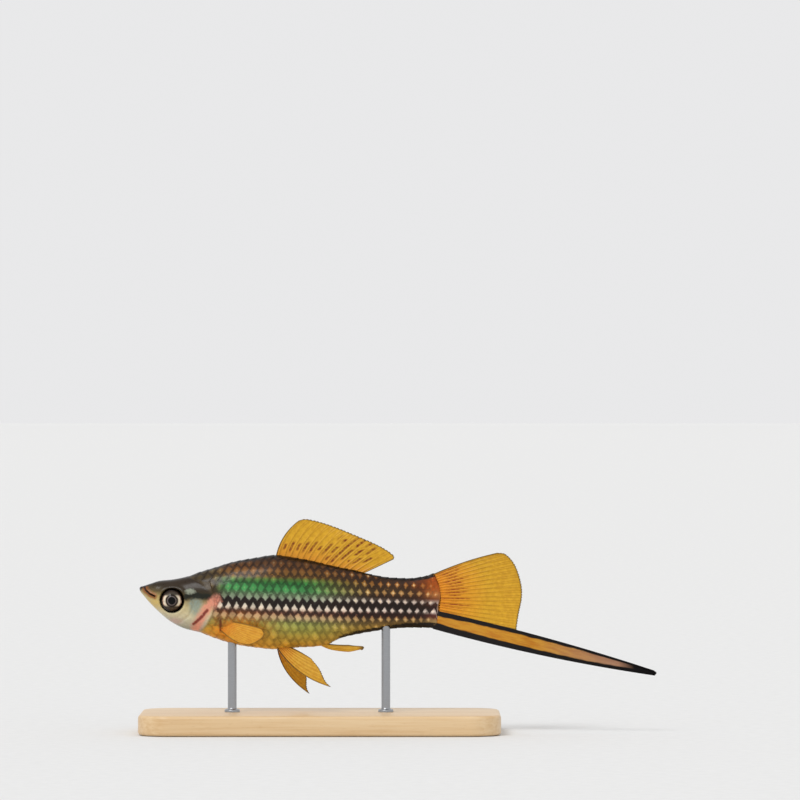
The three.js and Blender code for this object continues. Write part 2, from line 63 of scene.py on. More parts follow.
def add(tree, kind, sockets, out=0, stops=(), **settings):
    """Adds a node with its settings, the values or links on its sockets, and a ramp's stops.

    A Map Range has its value on socket 0, what comes in on 1 and 2 and what goes out on 3 and
    4, and a Mix of colours has its share on 0 and the colours on 6 and 7.
    """
    node = tree.nodes.new("ShaderNode" + kind)
    for name, value in settings.items():
        setattr(node, name, value)
    for i, (place, colour) in enumerate(stops):
        elements = node.color_ramp.elements
        element = elements[i] if i < len(elements) else elements.new(place)
        element.position, element.color = place, linear(colour)
    for name, value in sockets.items():
        if isinstance(value, bpy.types.NodeSocket):
            tree.links.new(value, node.inputs[name])
        else:
            node.inputs[name].default_value = value
    return node.outputs[out]


def new_finish(name, **values):
    """A new material with its node tree and its shader, whose own values are set here."""
    material = bpy.data.materials.new(name)
    material.use_nodes = True
    shader = material.node_tree.nodes["Principled BSDF"]
    for socket, value in values.items():
        shader.inputs[socket.replace("_", " ")].default_value = value
    return material, material.node_tree, shader


def named(name):
    """The object that an operator has just made, under its own name."""
    piece = bpy.context.object
    piece.name = piece.data.name = name
    return piece


def select(piece, kind, wanted):
    """Selects faces by centre and normal, or edges by their two ends, in edit mode."""
    bpy.ops.object.mode_set(mode="OBJECT")
    bpy.context.tool_settings.mesh_select_mode = (False, kind == "EDGE", kind == "FACE")
    mesh = piece.data
    for element in (*mesh.polygons, *mesh.edges, *mesh.vertices):
        element.select = False
    if kind == "FACE":
        for face in mesh.polygons:
            face.select = wanted(face.center, face.normal)
    else:
        for edge in mesh.edges:
            edge.select = wanted(*(mesh.vertices[i].co for i in edge.vertices))
    bpy.ops.object.mode_set(mode="EDIT")


def dress(piece, material, slot, *nodes):
    """Gives a finished piece its material, hangs it on the root, and hides the parts it replaces.
    """
    piece.data.materials.clear()
    piece.data.materials.append(material)
    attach(piece, "root")
    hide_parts(*nodes)


bpy.ops.object.select_all(action="DESELECT")
bpy.ops.mesh.primitive_cube_add(
    size=1, location=(BASE_LOW + BASE_HIGH) / 2, scale=BASE_HIGH - BASE_LOW
)
base = named("maple_base")
bpy.ops.object.transform_apply(location=True, rotation=True, scale=True)
select(base, "EDGE", lambda a, b: abs(a.z - b.z) > BASE_HIGH[2] / 2)
bpy.ops.mesh.bevel(offset=BASE_CORNER, segments=12, profile=0.5)
select(base, "EDGE", lambda a, b: abs(a.z - b.z) < BASE_EDGE / 8)
bpy.ops.mesh.bevel(offset=BASE_EDGE, segments=4, profile=0.5)
bpy.ops.object.mode_set(mode="OBJECT")
bpy.ops.object.shade_smooth_by_angle(angle=math.radians(35))

# Lacquered maple: close, even grain along the block, faint darker growth lines, and the
# soft shine of a thin sanded coat. Its short pores are drawn coarser than real, to show.
maple, tree, shader = new_finish("lacquered_maple", IOR=1.5, Coat_Weight=0.2, Coat_Roughness=0.25)
place = add(tree, "TexCoord", {}, "Object")
lengthwise = add(tree, "Mapping", {"Vector": place, "Scale": GRAIN_STRETCH})
sockets = {"Vector": lengthwise, "Scale": 1 / GRAIN_WIDTH, "Detail": 5.0, "Distortion": 0.4}
fine = add(tree, "TexNoise", sockets)
broad = add(tree, "TexNoise", {"Vector": lengthwise, "Scale": 1 / (8 * GRAIN_WIDTH), "Detail": 2.0})
grain = add(tree, "Mix", {0: 0.45, 2: fine, 3: broad})
wood = add(tree, "ValToRGB", {0: grain}, stops=MAPLE_GRAIN)
short = add(tree, "Mapping", {"Vector": place, "Scale": PORE_STRETCH})
pores = add(tree, "TexNoise", {"Vector": short, "Scale": 1 / PORE_WIDTH, "Detail": 2.0})
pore_depth = add(tree, "MapRange", {0: pores, 1: 0.6, 2: 0.78, 3: 0.0, 4: 0.3})
wood = add(tree, "Mix", {0: pore_depth, 6: wood, 7: linear(MAPLE_PORE)}, 2, data_type="RGBA")
tree.links.new(wood, shader.inputs["Base Color"])
satin = add(tree, "MapRange", {0: fine, 3: 0.36, 4: 0.48})
tree.links.new(satin, shader.inputs["Roughness"])
relief = add(tree, "Bump", {"Height": fine, "Strength": 0.1, "Distance": 0.1 * MM})
tree.links.new(relief, shader.inputs["Normal"])
dress(base, maple, "base_wood", "stand_base")

# Rods: turned and brushed stainless steel, each with a small foot that sits on the maple.
# The upper end runs into the fish's belly, where it is fixed.
ROD_RADIUS = 1.1 * MM
FOOT_HEIGHT = 0.7 * MM
FOOT_ROUND = 0.22 * MM
NECK_RISES = (0.08 * MM, 0.16 * MM, 0.3 * MM)
NECK_SHRINKS = (0.86, 0.9, 0.96)
ROD_REACH = 0.9 * MM
BRUSH_SPACING, BRUSH_STRETCH = 0.12 * MM, (0.1, 0.1, 1)

# Brushed stainless steel: fine rings from the turning, which break up its highlights, and
# which are drawn coarser than real, to show.
brushed, tree, shader = new_finish("brushed_stainless", Metallic=1.0, Anisotropic=0.4)
place = add(tree, "TexCoord", {}, "Object")
rings = add(tree, "Mapping", {"Vector": place, "Scale": BRUSH_STRETCH})
rings = add(tree, "TexNoise", {"Vector": rings, "Scale": 1 / BRUSH_SPACING, "Detail": 3.0})
steel = add(tree, "ValToRGB", {0: rings}, stops=[(0.3, "#9fa1a4"), (0.7, "#a8aaad")])
tree.links.new(steel, shader.inputs["Base Color"])
polish = add(tree, "MapRange", {0: rings, 3: 0.28, 4: 0.34})
tree.links.new(polish, shader.inputs["Roughness"])

for end in ("front", "rear"):
    low, high = (np.array(corner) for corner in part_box(f"stand_rod_{end}"))
    foot_radius = (high[0] - low[0]) / 2
    foot_middle = (*(low + high)[:2] / 2, BASE_HIGH[2] + FOOT_HEIGHT / 2)
    bpy.ops.object.select_all(action="DESELECT")
    bpy.ops.mesh.primitive_cylinder_add(
        vertices=48, radius=foot_radius, depth=FOOT_HEIGHT, location=foot_middle
    )
    rod = named(f"steel_rod_{end}")
    bpy.ops.object.transform_apply(location=True, rotation=True, scale=True)
    rim_height = BASE_HIGH[2] + FOOT_HEIGHT
    select(rod, "EDGE", lambda a, b: min(a.z, b.z) > rim_height - FOOT_ROUND)
    bpy.ops.mesh.bevel(offset=FOOT_ROUND, segments=3, profile=0.5)
    select(rod, "FACE", lambda centre, normal: normal.z > 0.99)
    neck_radius = ROD_RADIUS / math.prod(NECK_SHRINKS)
    bpy.ops.mesh.inset(thickness=foot_radius - FOOT_ROUND - neck_radius)
    for rise, shrink in zip(NECK_RISES, NECK_SHRINKS):
        bpy.ops.mesh.extrude_region_move(TRANSFORM_OT_translate={"value": (0, 0, rise)})
        bpy.ops.transform.resize(value=(shrink, shrink, 1))
    shaft = high[2] + ROD_REACH - rim_height - sum(NECK_RISES)
    bpy.ops.mesh.extrude_region_move(TRANSFORM_OT_translate={"value": (0, 0, shaft)})
    bpy.ops.object.mode_set(mode="OBJECT")
    bpy.ops.object.shade_smooth_by_angle(angle=math.radians(40))
    dress(rod, brushed, "rod_steel", f"stand_rod_{end}")

# Skin: one moist, unbroken skin over head, jaw, body and tail stem. It lies inside the
# solids by the depth of the scales, and folds at the mouth, the nostrils, the eye sockets
# and the rear edge of the gill cover. The fish's own lengths below are in millimetres: s
# from the jaw's tip to the tail, h above the mouth, and y towards its right side.
LENGTH = 129.4
MOUTH_HEIGHT = 36
SKIN_DEPTH, SCALE_DEPTH = 0.05, 0.15
# Sections of the body: s, the heights of its back and belly, and its half width.
SECTIONS = np.array(
    [
        [0.0, -0.1, -0.2, 0.12],
        [0.15, 0.25, -0.7, 0.75],
        [0.45, 0.42, -1.2, 1.2],
        [1.0, 0.55, -1.85, 1.75],
        [1.9, 0.85, -2.95, 2.35],
        [3.1, 1.25, -4.25, 2.95],
        [5.1, 1.85, -6.2, 3.7],
        [8.1, 2.15, -8.6, 4.45],
        [11.4, 2.8, -10.2, 5.0],
        [15.1, 4.05, -11.15, 5.35],
        [18.9, 5.2, -12.6, 5.65],
        [23.9, 6.7, -14.1, 5.95],
        [28.9, 7.6, -14.9, 6.0],
        [33.9, 8.3, -15.35, 5.8],
        [38.9, 7.65, -14.95, 5.35],
        [43.9, 6.7, -14.7, 4.75],
        [47.1, 5.9, -14.1, 4.3],
        [50.1, 5.25, -12.7, 3.85],
        [53.9, 4.5, -11.7, 3.4],
        [57.6, 3.55, -11.05, 2.95],
        [62.6, 2.7, -10.3, 2.4],
        [67.6, 2.5, -9.95, 1.9],
        [71.4, 3.0, -10.0, 1.35],
        [74.4, 3.9, -10.35, 0.7],
        [77.0, 4.8, -10.9, 0.35],
    ]
)
# Sections are blunt under 1 and pointed over 1: s, above the widest level, and below it.
ROUNDNESS = np.array([
    [0, 0.8, 0.8], [8, 0.72, 0.9], [18, 0.95, 0.95], [34, 1.1, 0.95], [47, 1.05, 1.2], [77, 1, 1.1],
])
WIDEST_LEVEL = 0.52
FLANK_CROWDING = 0.2
TAIL_END = 74.9
MOUTH_LINE = [(0.95, 1.4), (1.6, -0.38), (2.65, -1.35), (3.9, -1.95)]
JAW_HINGE_LINE = [(3.9, -1.95), (4.6, -4.0), (5.1, -7.2)]
UPPER_LIP_LINE = [(1.9, 1.2), (2.35, 0.1), (3.3, -0.75), (4.5, -1.3)]
CHEEK_LINE = [(13.4, -2.6), (13.5, -4.6), (12.6, -6.8), (10.2, -8.6)]
UPPER_THROAT_LINE = [(8.2, -7.4), (11.4, -9.0), (14.9, -9.6)]
LOWER_THROAT_LINE = [(6.6, -6.6), (10.5, -9.2), (14.5, -10.6)]
# The gill cover's rear edge, and the fronts of the first scales, which start at that edge and
# lie farther forward on the nape.
COVER_EDGE = [[13.9, -14.0], [15.6, -10.8], [17.1, -9.0], [18.4, -6.5], [18.9, -4.0]]
GILL_EDGE = np.array([*COVER_EDGE, [18.6, -1.0], [17.8, 2.5]])
FIRST_SCALES = np.array([*COVER_EDGE, [18.6, -1.2], [15.6, 1.4], [12.8, 2.8], [11.0, 4.0]])
TAIL_ROOT = np.array([
    [75.4, -12.0], [75.1, -10.4], [74.7, -7.5], [74.8, -5.2], [75.5, -3.0], [75.75, -1.0],
    [75.4, 1.0], [74.2, 3.8], [73.7, 5.6],
])
EYE_S, EYE_H = 8.3, -3.0
EYE_RADIUS, EYE_HALF_DEPTH = 2.75, 1.9
NOSTRIL_S, NOSTRIL_H = 3.9, 0.75
# How high or deep each fold of the head is, and how wide.
GILL_COVER, GILL_CREASE = (0.4, 2.6), (0.1, 0.9)
ORBIT_RADIUS, ORBIT_RIM, SOCKET_DEPTH = 3.5, (0.25, 0.6), 1.7
LIPS, MOUTH_SLIT = (0.24, 0.5), (0.6, 0.13)
NOSTRIL_RADIUS, NOSTRIL_RIM, NOSTRIL_PIT = 0.5, (0.12, 0.15), (0.5, 0.33)
GROOVES = [
    (UPPER_LIP_LINE, (0.16, 0.16)),
    (JAW_HINGE_LINE, (0.16, 0.18)),
    (CHEEK_LINE, (0.24, 0.3)),
    (UPPER_THROAT_LINE, (0.14, 0.2)),
    (LOWER_THROAT_LINE, (0.14, 0.2)),
]
HEAD_END = 22
# The middle of the pale row of scales under the black stripe, and the height of a row.
PALE_ROW = np.array([
    [0, -0.6], [2.6, -1.7], [8, -3.1], [16, -3.9], [22.6, -4.25], [47, -5.15], [67.6, -5.7],
    [77, -6.1],
])
ROW_PITCH = np.array([[0, 2.3], [40, 2.35], [77, 2.1]])
# Markings of the flank and head, with a painted highlight behind the eye, painted shade in
# the mouth's slit and a painted shadow at the pectoral fin's root: round ones by their middles
# and radii, and long ones by their lines and half widths.
ROUND_MARKS = {
    "Ember": ((75, 1.0), (4.5, 3.4)),
    "Glow": ((24.0, -10.4), (7.0, 2.9)),
    "Patch": ((14.2, -4.4), (1.9, 2.6)),
    "Rose": ((9.0, -8.2), (1.9, 0.9)),
    # Painted highlight: a pale grey-green gleam behind the eye.
    "Glint": ((12.9, -0.7), (1.5, 0.8)),
    "Jaw": ((4.2, -3.6), (3.2, 1.8)),
}
LONG_MARKS = {
    "Blush": ([(19.4, -2.7), (17.0, -5.0), (14.2, -9.8)], 1.35),
    "Slit": ([(17.1, -5.4), (15.6, -7.2), (13.7, -8.9)], 0.45),
    "Shade": ([(12.0, -2.1), (14.0, -1.7), (17.6, -2.0)], 0.95),
    "Lips": (MOUTH_LINE, 0.9),
    # Painted shade: a dark line in the slit between the lips.
    "Mouth_shade": (MOUTH_LINE, 0.3),
    # Painted shadow: a dark red-brown stroke where the pectoral fin meets the body.
    "Pectoral_shadow": ([(20.2, -7.6), (20.6, -10.8)], 0.5),
}
SKIN_STATIONS = np.concatenate([np.linspace(0, 20, 121), np.linspace(20, TAIL_END, 95)[1:]])
SKIN_SIDES = 168


def column(table, index, at):
    """One column of a table at some places, on a smooth curve that doesn't overshoot."""
    x, y = table[:, 0], table[:, index]
    slope = np.diff(y) / np.diff(x)
    rising = slope[:-1] * slope[1:] > 0
    total = np.where(rising, slope[:-1] + slope[1:], 1)
    tangent = np.r_[slope[0], np.where(rising, 2 * slope[:-1] * slope[1:] / total, 0), slope[-1]]
    i = np.clip(np.searchsorted(x, at, side="right") - 1, 0, len(x) - 2)
    span = x[i + 1] - x[i]
    t = np.clip((at - x[i]) / span, 0, 1)
    return (
        y[i] * (2 * t**3 - 3 * t**2 + 1)
        + y[i + 1] * (3 * t**2 - 2 * t**3)
        + tangent[i] * span * (t**3 - 2 * t**2 + t)
        + tangent[i + 1] * span * (t**3 - t**2)
    )


def smoothstep(low, high, value):
    t = np.clip((value - low) / (high - low), 0, 1)
    return t * t * (3 - 2 * t)


def bump(distance, width):
    return np.exp(-((distance / width) ** 2))


def distance_to(line, s, h):
    """Side-view distance to a line through a few points."""
    nearest = np.full(np.broadcast(s, h).shape, np.inf)
    for (s0, h0), (s1, h1) in zip(line, line[1:]):
        ds, dh = s1 - s0, h1 - h0
        t = np.clip(((s - s0) * ds + (h - h0) * dh) / (ds * ds + dh * dh), 0, 1)
        nearest = np.minimum(nearest, np.hypot(s - s0 - t * ds, h - h0 - t * dh))
    return nearest


def body_point(s, angle, proud, relief=0.0):
    """A point of the body at a station and an angle from the back."""
    back, belly = column(SECTIONS, 1, s), column(SECTIONS, 2, s)
    level = belly + (back - belly) * WIDEST_LEVEL
    up, side = np.cos(angle), np.sin(angle)
    reach = np.where(up > 0, back - level, level - belly)
    roundness = np.where(up > 0, column(ROUNDNESS, 1, s), column(ROUNDNESS, 2, s))
    wide = column(SECTIONS, 3, s) * np.abs(side) ** roundness
    return np.sign(side) * (wide + (relief + proud) * np.abs(side)), level + (reach + proud) * up


def on_line(table, h):
    """Where an upright line of points crosses a height."""
    return np.interp(h, table[:, 1], table[:, 0])


def swept_to_tail(s, h):
    """Moves the end of the tail stem to the curved line where the tail fin starts."""
    return s + (on_line(TAIL_ROOT, h) - TAIL_END) * smoothstep(63, TAIL_END, s)


def head_relief(s, h):
    """How far the head's folds stand proud of the plain body."""

    def fold(size, distance):
        return size[0] * bump(distance, size[1])

    behind = s - on_line(GILL_EDGE, h)
    cover = np.where(behind < 0, fold(GILL_COVER, behind), -fold(GILL_CREASE, behind))
    from_eye = np.hypot(s - EYE_S, h - EYE_H)
    from_nostril = np.hypot(s - NOSTRIL_S, h - NOSTRIL_H)
    mouth = distance_to(MOUTH_LINE, s, h)
    relief = cover * (1 - smoothstep(-0.5, 2.5, h))
    relief += fold(ORBIT_RIM, from_eye - ORBIT_RADIUS)
    relief -= SOCKET_DEPTH * (1 - smoothstep(EYE_RADIUS - 0.1, EYE_RADIUS + 0.45, from_eye))
    relief += fold(LIPS, mouth) - fold(MOUTH_SLIT, mouth)
    relief += fold(NOSTRIL_RIM, from_nostril - NOSTRIL_RADIUS) - fold(NOSTRIL_PIT, from_nostril)
    for line, size in GROOVES:
        relief -= fold(size, distance_to(line, s, h))
    return np.where(s < HEAD_END, relief, 0)


# A survey of the body gives the distance round it from the back at every angle.
SURVEY_S = np.arange(0, 77.01, 0.25)
SURVEY_ANGLE = np.linspace(0, np.pi, 181)
survey_y, survey_h = body_point(SURVEY_S[:, None], SURVEY_ANGLE[None, :], 0.0)
steps = np.hypot(np.diff(survey_y, axis=1), np.diff(survey_h, axis=1))
SURVEY_ROUND = np.pad(np.cumsum(steps, axis=1), ((0, 0), (1, 0)))
HALF_GIRTH = SURVEY_ROUND[:, -1]
pale_h = column(PALE_ROW, 1, SURVEY_S)
PALE_ROUND = np.array([np.interp(-p, -h, r) for p, h, r in zip(pale_h, survey_h, SURVEY_ROUND)])
ROUND_STEPS = np.linspace(0, HALF_GIRTH.max(), 400)
ANGLE_OF_ROUND = np.array([np.interp(ROUND_STEPS, row, SURVEY_ANGLE) for row in SURVEY_ROUND])


def read_table(table, rows, columns, row, value):
    """Reads a table between its evenly spaced rows and columns."""
    i = np.clip((row - rows[0]) / (rows[1] - rows[0]), 0, len(rows) - 1.001)
    j = np.clip((value - columns[0]) / (columns[1] - columns[0]), 0, len(columns) - 1.001)
    i0, j0 = i.astype(int), j.astype(int)
    fi, fj = i - i0, j - j0
    low = table[i0, j0] * (1 - fj) + table[i0, j0 + 1] * fj
    high = table[i0 + 1, j0] * (1 - fj) + table[i0 + 1, j0 + 1] * fj
    return low * (1 - fi) + high * fi


def markings(s, h, around):
    """The rows, markings, painted highlight and painted shades at points of the body, which lie
    some way round from its back.
    """
    girth = np.interp(s, SURVEY_S, HALF_GIRTH)
    row = (np.interp(s, SURVEY_S, PALE_ROUND) - around) / column(ROW_PITCH, 1, s)
    tail = smoothstep(38, 60, s)
    head = 1 - smoothstep(-0.7, 0.5, s - on_line(FIRST_SCALES, h))
    keel = smoothstep(46, 53, s) * (1 - smoothstep(1.2, 1.9, girth - around))
    back_edge = 1 - smoothstep(0.7, 2.5 - 1.2 * tail, around)
    # The scales' dark edges are fainter on the belly, in the green rows and at the tail.
    net = 0.42 + 0.4 * smoothstep(-2.6, -0.8, row) + 0.12 * smoothstep(40, 56, s)
    net -= 0.15 * smoothstep(0.8, 1.5, row) * (1 - smoothstep(2.9, 3.6, row)) * (1 - tail)
    net *= 1 - 0.6 * smoothstep(70, TAIL_END, s)
    marks = {
        "Along": s,
        "Row": row,
        "Head": head,
        "Net": net * (1 - head),
        "Black": np.maximum(keel, back_edge),
        "Shoulder": (1 - smoothstep(18.5, 23, s)) * smoothstep(0.6, 1.2, row),
        "Ring": bump(np.maximum(np.hypot(s - EYE_S, h - EYE_H) - EYE_RADIUS, 0), 0.45),
    }
    for name, ((mid_s, mid_h), (half_length, half_height)) in ROUND_MARKS.items():
        marks[name] = bump(np.hypot((s - mid_s) / half_length, (h - mid_h) / half_height), 1)
    for name, (line, half_width) in LONG_MARKS.items():
        marks[name] = bump(distance_to(line, s, h), half_width)
    marks["Glow"] = marks["Glow"] * (1 - head)
    marks["Lips"] = marks["Lips"] * (1 - smoothstep(3.9, 6.0, s))
    return marks


def set_attributes(piece, values, shape):
    for name, value in values.items():
        layer = piece.data.attributes.new(name, "FLOAT", "POINT")
        layer.data.foreach_set("value", np.broadcast_to(value, shape).ravel().astype(np.float32))


def place_of(s, y, h):
    """A fish point as a place in the model, in metres."""
    return np.stack([s - LENGTH / 2, y, h + MOUTH_HEIGHT], axis=-1) * MM


def coordinates(piece):
    flat = np.empty(len(piece.data.vertices) * 3)
    piece.data.vertices.foreach_get("co", flat)
    return flat.reshape(-1, 3)


def move_to(piece, points):
    piece.data.vertices.foreach_set("co", points.astype(np.float32).ravel())
    piece.data.update()


bpy.ops.object.select_all(action="DESELECT")
bpy.ops.mesh.primitive_uv_sphere_add(
    segments=SKIN_SIDES, ring_count=len(SKIN_STATIONS) - 1, radius=1
)
skin = named("skin")
ball = coordinates(skin)
station = np.arccos(np.clip(ball[:, 2], -1, 1)) / np.pi * (len(SKIN_STATIONS) - 1)
s = np.interp(station, np.arange(len(SKIN_STATIONS)), SKIN_STATIONS)
turn = np.arctan2(ball[:, 1], ball[:, 0])
turn = turn + FLANK_CROWDING * np.sin(2 * turn)
_, plain_h = body_point(s, turn, 0.0)
under_scales = smoothstep(-1.0, 0.6, s - on_line(FIRST_SCALES, plain_h))
depth = SKIN_DEPTH + (SCALE_DEPTH - SKIN_DEPTH) * under_scales
y, h = body_point(s, turn, -depth, head_relief(s, plain_h))
at_pole = np.hypot(ball[:, 0], ball[:, 1]) < 1e-4
y = np.where(at_pole, 0, y)
h = np.where(at_pole, (column(SECTIONS, 1, s) + column(SECTIONS, 2, s)) / 2, h)
move_to(skin, place_of(swept_to_tail(s, h), y, h))
around = read_table(SURVEY_ROUND, SURVEY_S, SURVEY_ANGLE, s, np.abs(turn))
marks = markings(s, plain_h, around)
set_attributes(skin, {**marks, "Scale_along": 0.9, "Scale_across": 0.0, "Tone": 0.5}, s.shape)
bpy.ops.object.shade_smooth()

# Moist fish skin and scales over a thin silvery layer: brown back, green shoulder, a black
# stripe over a row of pearly scales, an olive flank and a golden belly. Each scale is pale
# in its middle and dark at its edge, and a thin wet film gives small, sharp highlights. The
# skin's fine grain is drawn coarser than real, to show.
SCALE_PITCH = 2.05
FIRST_PALE_SPOT = 10.13
LOW_ROW, HIGH_ROW = -7, 9
# Colours by row of scales, counted up from the pale one: behind the head, near the tail and
# on the head.
FRONT_ROWS = [
    (-7, "#d6a23c"), (-4.4, "#d6a33a"), (-3.4, "#c3a544"), (-2.5, "#a39f47"), (-1.6, "#969c52"),
    (-1.1, "#bfa57a"), (-0.6, "#b58a66"), (0.0, "#e6d6c2"), (0.9, "#8f9a82"), (1.35, "#7d9670"),
    (1.8, "#469050"), (2.6, "#2f7c3a"), (3.05, "#4f6c2c"), (3.4, "#7f5a24"), (4.2, "#74481a"),
    (5.0, "#52300f"), (6.2, "#281608"), (9, "#140b05"),
]
REAR_ROWS = [
    (-7, "#b98f3c"), (-2.2, "#c89f4c"), (-1.1, "#b8925a"), (-0.5, "#8a4c3a"), (0.0, "#f2e0d2"),
    (0.5, "#6a3a34"), (1.0, "#dccabc"), (1.5, "#80502e"), (2.0, "#b98a50"), (3.0, "#9a5e1e"),
    (3.8, "#6e3f14"), (5.0, "#2c1808"), (9, "#140b05"),
]
HEAD_ROWS = [
    (-7, "#7f857e"), (-3.3, "#989c90"), (-2.5, "#bcb8a2"), (-1.5, "#d3c8a4"), (-0.5, "#cfbf8e"),
    (0.2, "#94835a"), (0.75, "#4d4024"), (1.4, "#2f2413"), (2.4, "#2b1d0d"), (4.5, "#170d06"),
    (9, "#120a05"),
]
# Each marking's colour, and that of the painted highlight and painted shades, with its strength
# and how softly it ends: 0.5 fades away from its middle.
MARK_COLOURS = [
    ("Ember", "#b4500f", 0.75, 0.5),
    ("Glow", "#e8851a", 0.92, 0.5),
    ("Jaw", "#cfae5a", 0.7, 0.5),
    ("Rose", "#c9a29c", 0.6, 0.4),
    ("Patch", "#84958c", 0.8, 0.3),
    ("Shade", "#14180e", 0.95, 0.25),
    # Painted highlight behind the eye.
    ("Glint", "#959b88", 0.8, 0.2),
    ("Blush", "#e39279", 0.88, 0.34),
    ("Slit", "#74201a", 0.9, 0.3),
    ("Lips", "#94561f", 0.9, 0.25),
    # Painted shade in the mouth's slit.
    ("Mouth_shade", "#26100a", 0.95, 0.3),
    # Painted shadow at the pectoral fin's root.
    ("Pectoral_shadow", "#5e1c12", 0.85, 0.3),
    ("Ring", "#0d0805", 0.98, 0.2),
    ("Black", "#0b0503", 0.98, 0.3),
]
NET_DARK = "#1c0f07"
MAROON = "#57201a"
STRIPE_BLACK = "#140709"
SHOULDER_BROWN = "#4a3a1c"
FLECK = "#e6cf9c"
# The middle of a scale's free part, as a share of its length.
EXPOSED_CENTRE = 0.66
MOTTLE_SIZE = 0.6 * MM
GRAIN_SIZE = 0.15 * MM

scaled_skin, tree, shader = new_finish(
    "moist_scaled_skin", IOR=1.38, Specular_IOR_Level=0.28, Coat_Weight=0.1, Coat_Roughness=0.1
)
place = add(tree, "TexCoord", {}, "Object")
names = ("Along", "Row", "Head", "Net", "Shoulder", "Scale_along", "Scale_across", "Tone")
along, row, head, net, shoulder, scale_along, scale_across, tone = (
    add(tree, "Attribute", {}, "Fac", attribute_name=name) for name in names
)
row_share = add(tree, "MapRange", {0: row, 1: LOW_ROW, 2: HIGH_ROW})
front, rear, face = (
    add(
        tree,
        "ValToRGB",
        {0: row_share},
        stops=[((n - LOW_ROW) / (HIGH_ROW - LOW_ROW), hue) for n, hue in rows],
    )
    for rows in (FRONT_ROWS, REAR_ROWS, HEAD_ROWS)
)
mottle = add(tree, "TexNoise", {"Vector": place, "Scale": 1 / MOTTLE_SIZE, "Detail": 4.0})
to_rear = add(tree, "MapRange", {0: along, 1: 40, 2: 62}, interpolation_type="SMOOTHSTEP")
colour = add(tree, "Mix", {0: to_rear, 6: front, 7: rear}, 2, data_type="RGBA")
colour = add(tree, "Mix", {0: shoulder, 6: colour, 7: linear(SHOULDER_BROWN)}, 2, data_type="RGBA")
# The free part of a scale is a diamond, whose value grows from its middle to its edges.
from_middle = add(tree, "Math", {0: scale_along, 1: EXPOSED_CENTRE}, operation="SUBTRACT")
from_middle = add(tree, "Math", {0: from_middle}, operation="ABSOLUTE")
aside = add(tree, "Math", {0: scale_across}, operation="ABSOLUTE")
aside = add(tree, "Math", {0: aside, 1: 0.8}, operation="MULTIPLY")
diamond = add(tree, "Math", {0: from_middle, 1: 2.9, 2: aside}, operation="MULTIPLY_ADD")
# Pale flecks in the middles of the scales, stronger towards the tail and in some scales.
sockets = {0: diamond, 1: 0.05, 2: 0.38, 3: 1, 4: 0}
fleck = add(tree, "MapRange", sockets, interpolation_type="SMOOTHSTEP")
fleck_tail = add(tree, "MapRange", {0: along, 1: 44, 2: 62, 3: 0.12, 4: 0.75})
fleck_tone = add(tree, "MapRange", {0: tone, 1: 0.2, 2: 1.0, 3: 0.1, 4: 1.0})
for part in (fleck_tail, fleck_tone):
    fleck = add(tree, "Math", {0: fleck, 1: part}, operation="MULTIPLY")
colour = add(tree, "Mix", {0: fleck, 6: colour, 7: linear(FLECK)}, 2, data_type="RGBA")
# The black stripe and the maroon line under it follow the scales in a zigzag, so that the
# pale spots between them are blunt triangles. Their lower and upper edges are given in rows,
# at a spot and between two spots.
zigzag = add(tree, "Math", {0: along, 1: FIRST_PALE_SPOT}, operation="SUBTRACT")
zigzag = add(tree, "Math", {0: zigzag, 1: SCALE_PITCH / 2}, operation="PINGPONG")
zigzag = add(tree, "MapRange", {0: zigzag, 1: 0.0, 2: SCALE_PITCH / 2})
wobble = add(tree, "MapRange", {0: mottle, 1: 0.3, 2: 0.7, 3: -0.17, 4: 0.17})
wavy_row = add(tree, "Math", {0: wobble, 1: 0.45, 2: row}, operation="MULTIPLY_ADD")
body_only = add(tree, "Math", {0: 1.0, 1: head}, operation="SUBTRACT")
for hue, strength, low_edge, high_edge in (
    (MAROON, 0.8, (-0.92, -0.6), (-0.36, -0.2)),
    (STRIPE_BLACK, 0.97, (0.46, -0.3), (1.15, 0.7)),
):
    band = body_only
    for (at_spot, between), inside in ((low_edge, 1), (high_edge, -1)):
        edge = add(tree, "MapRange", {0: zigzag, 3: at_spot, 4: between})
        past = add(tree, "Math", {0: wavy_row, 1: edge}, operation="SUBTRACT")
        past = add(tree, "MapRange", {0: past, 1: -0.09 * inside, 2: 0.09 * inside})
        band = add(tree, "Math", {0: band, 1: past}, operation="MULTIPLY")
    band = add(tree, "Math", {0: band, 1: strength}, operation="MULTIPLY")
    colour = add(tree, "Mix", {0: band, 6: colour, 7: linear(hue)}, 2, data_type="RGBA")
# Dark, uneven edges of the scales, broader towards the tail.
edge = add(tree, "MapRange", {0: to_rear, 3: -0.1, 4: 0.12})
for part in (diamond, wobble):
    edge = add(tree, "Math", {0: edge, 1: part}, operation="ADD")
edge = add(tree, "MapRange", {0: edge, 1: 0.42, 2: 0.84}, interpolation_type="SMOOTHSTEP")
edge = add(tree, "Math", {0: edge, 1: net}, operation="MULTIPLY")
shaded = add(tree, "Mix", {0: 0.55, 6: colour, 7: linear(NET_DARK)}, 2, data_type="RGBA")
darkest = add(tree, "Mix", {0: net, 6: shaded, 7: linear(NET_DARK)}, 2, data_type="RGBA")
colour = add(tree, "Mix", {0: edge, 6: colour, 7: darkest}, 2, data_type="RGBA")
colour = add(tree, "Mix", {0: head, 6: colour, 7: face}, 2, data_type="RGBA")
ragged = add(tree, "MapRange", {0: mottle, 1: 0.3, 2: 0.7, 3: -0.35, 4: 0.35})
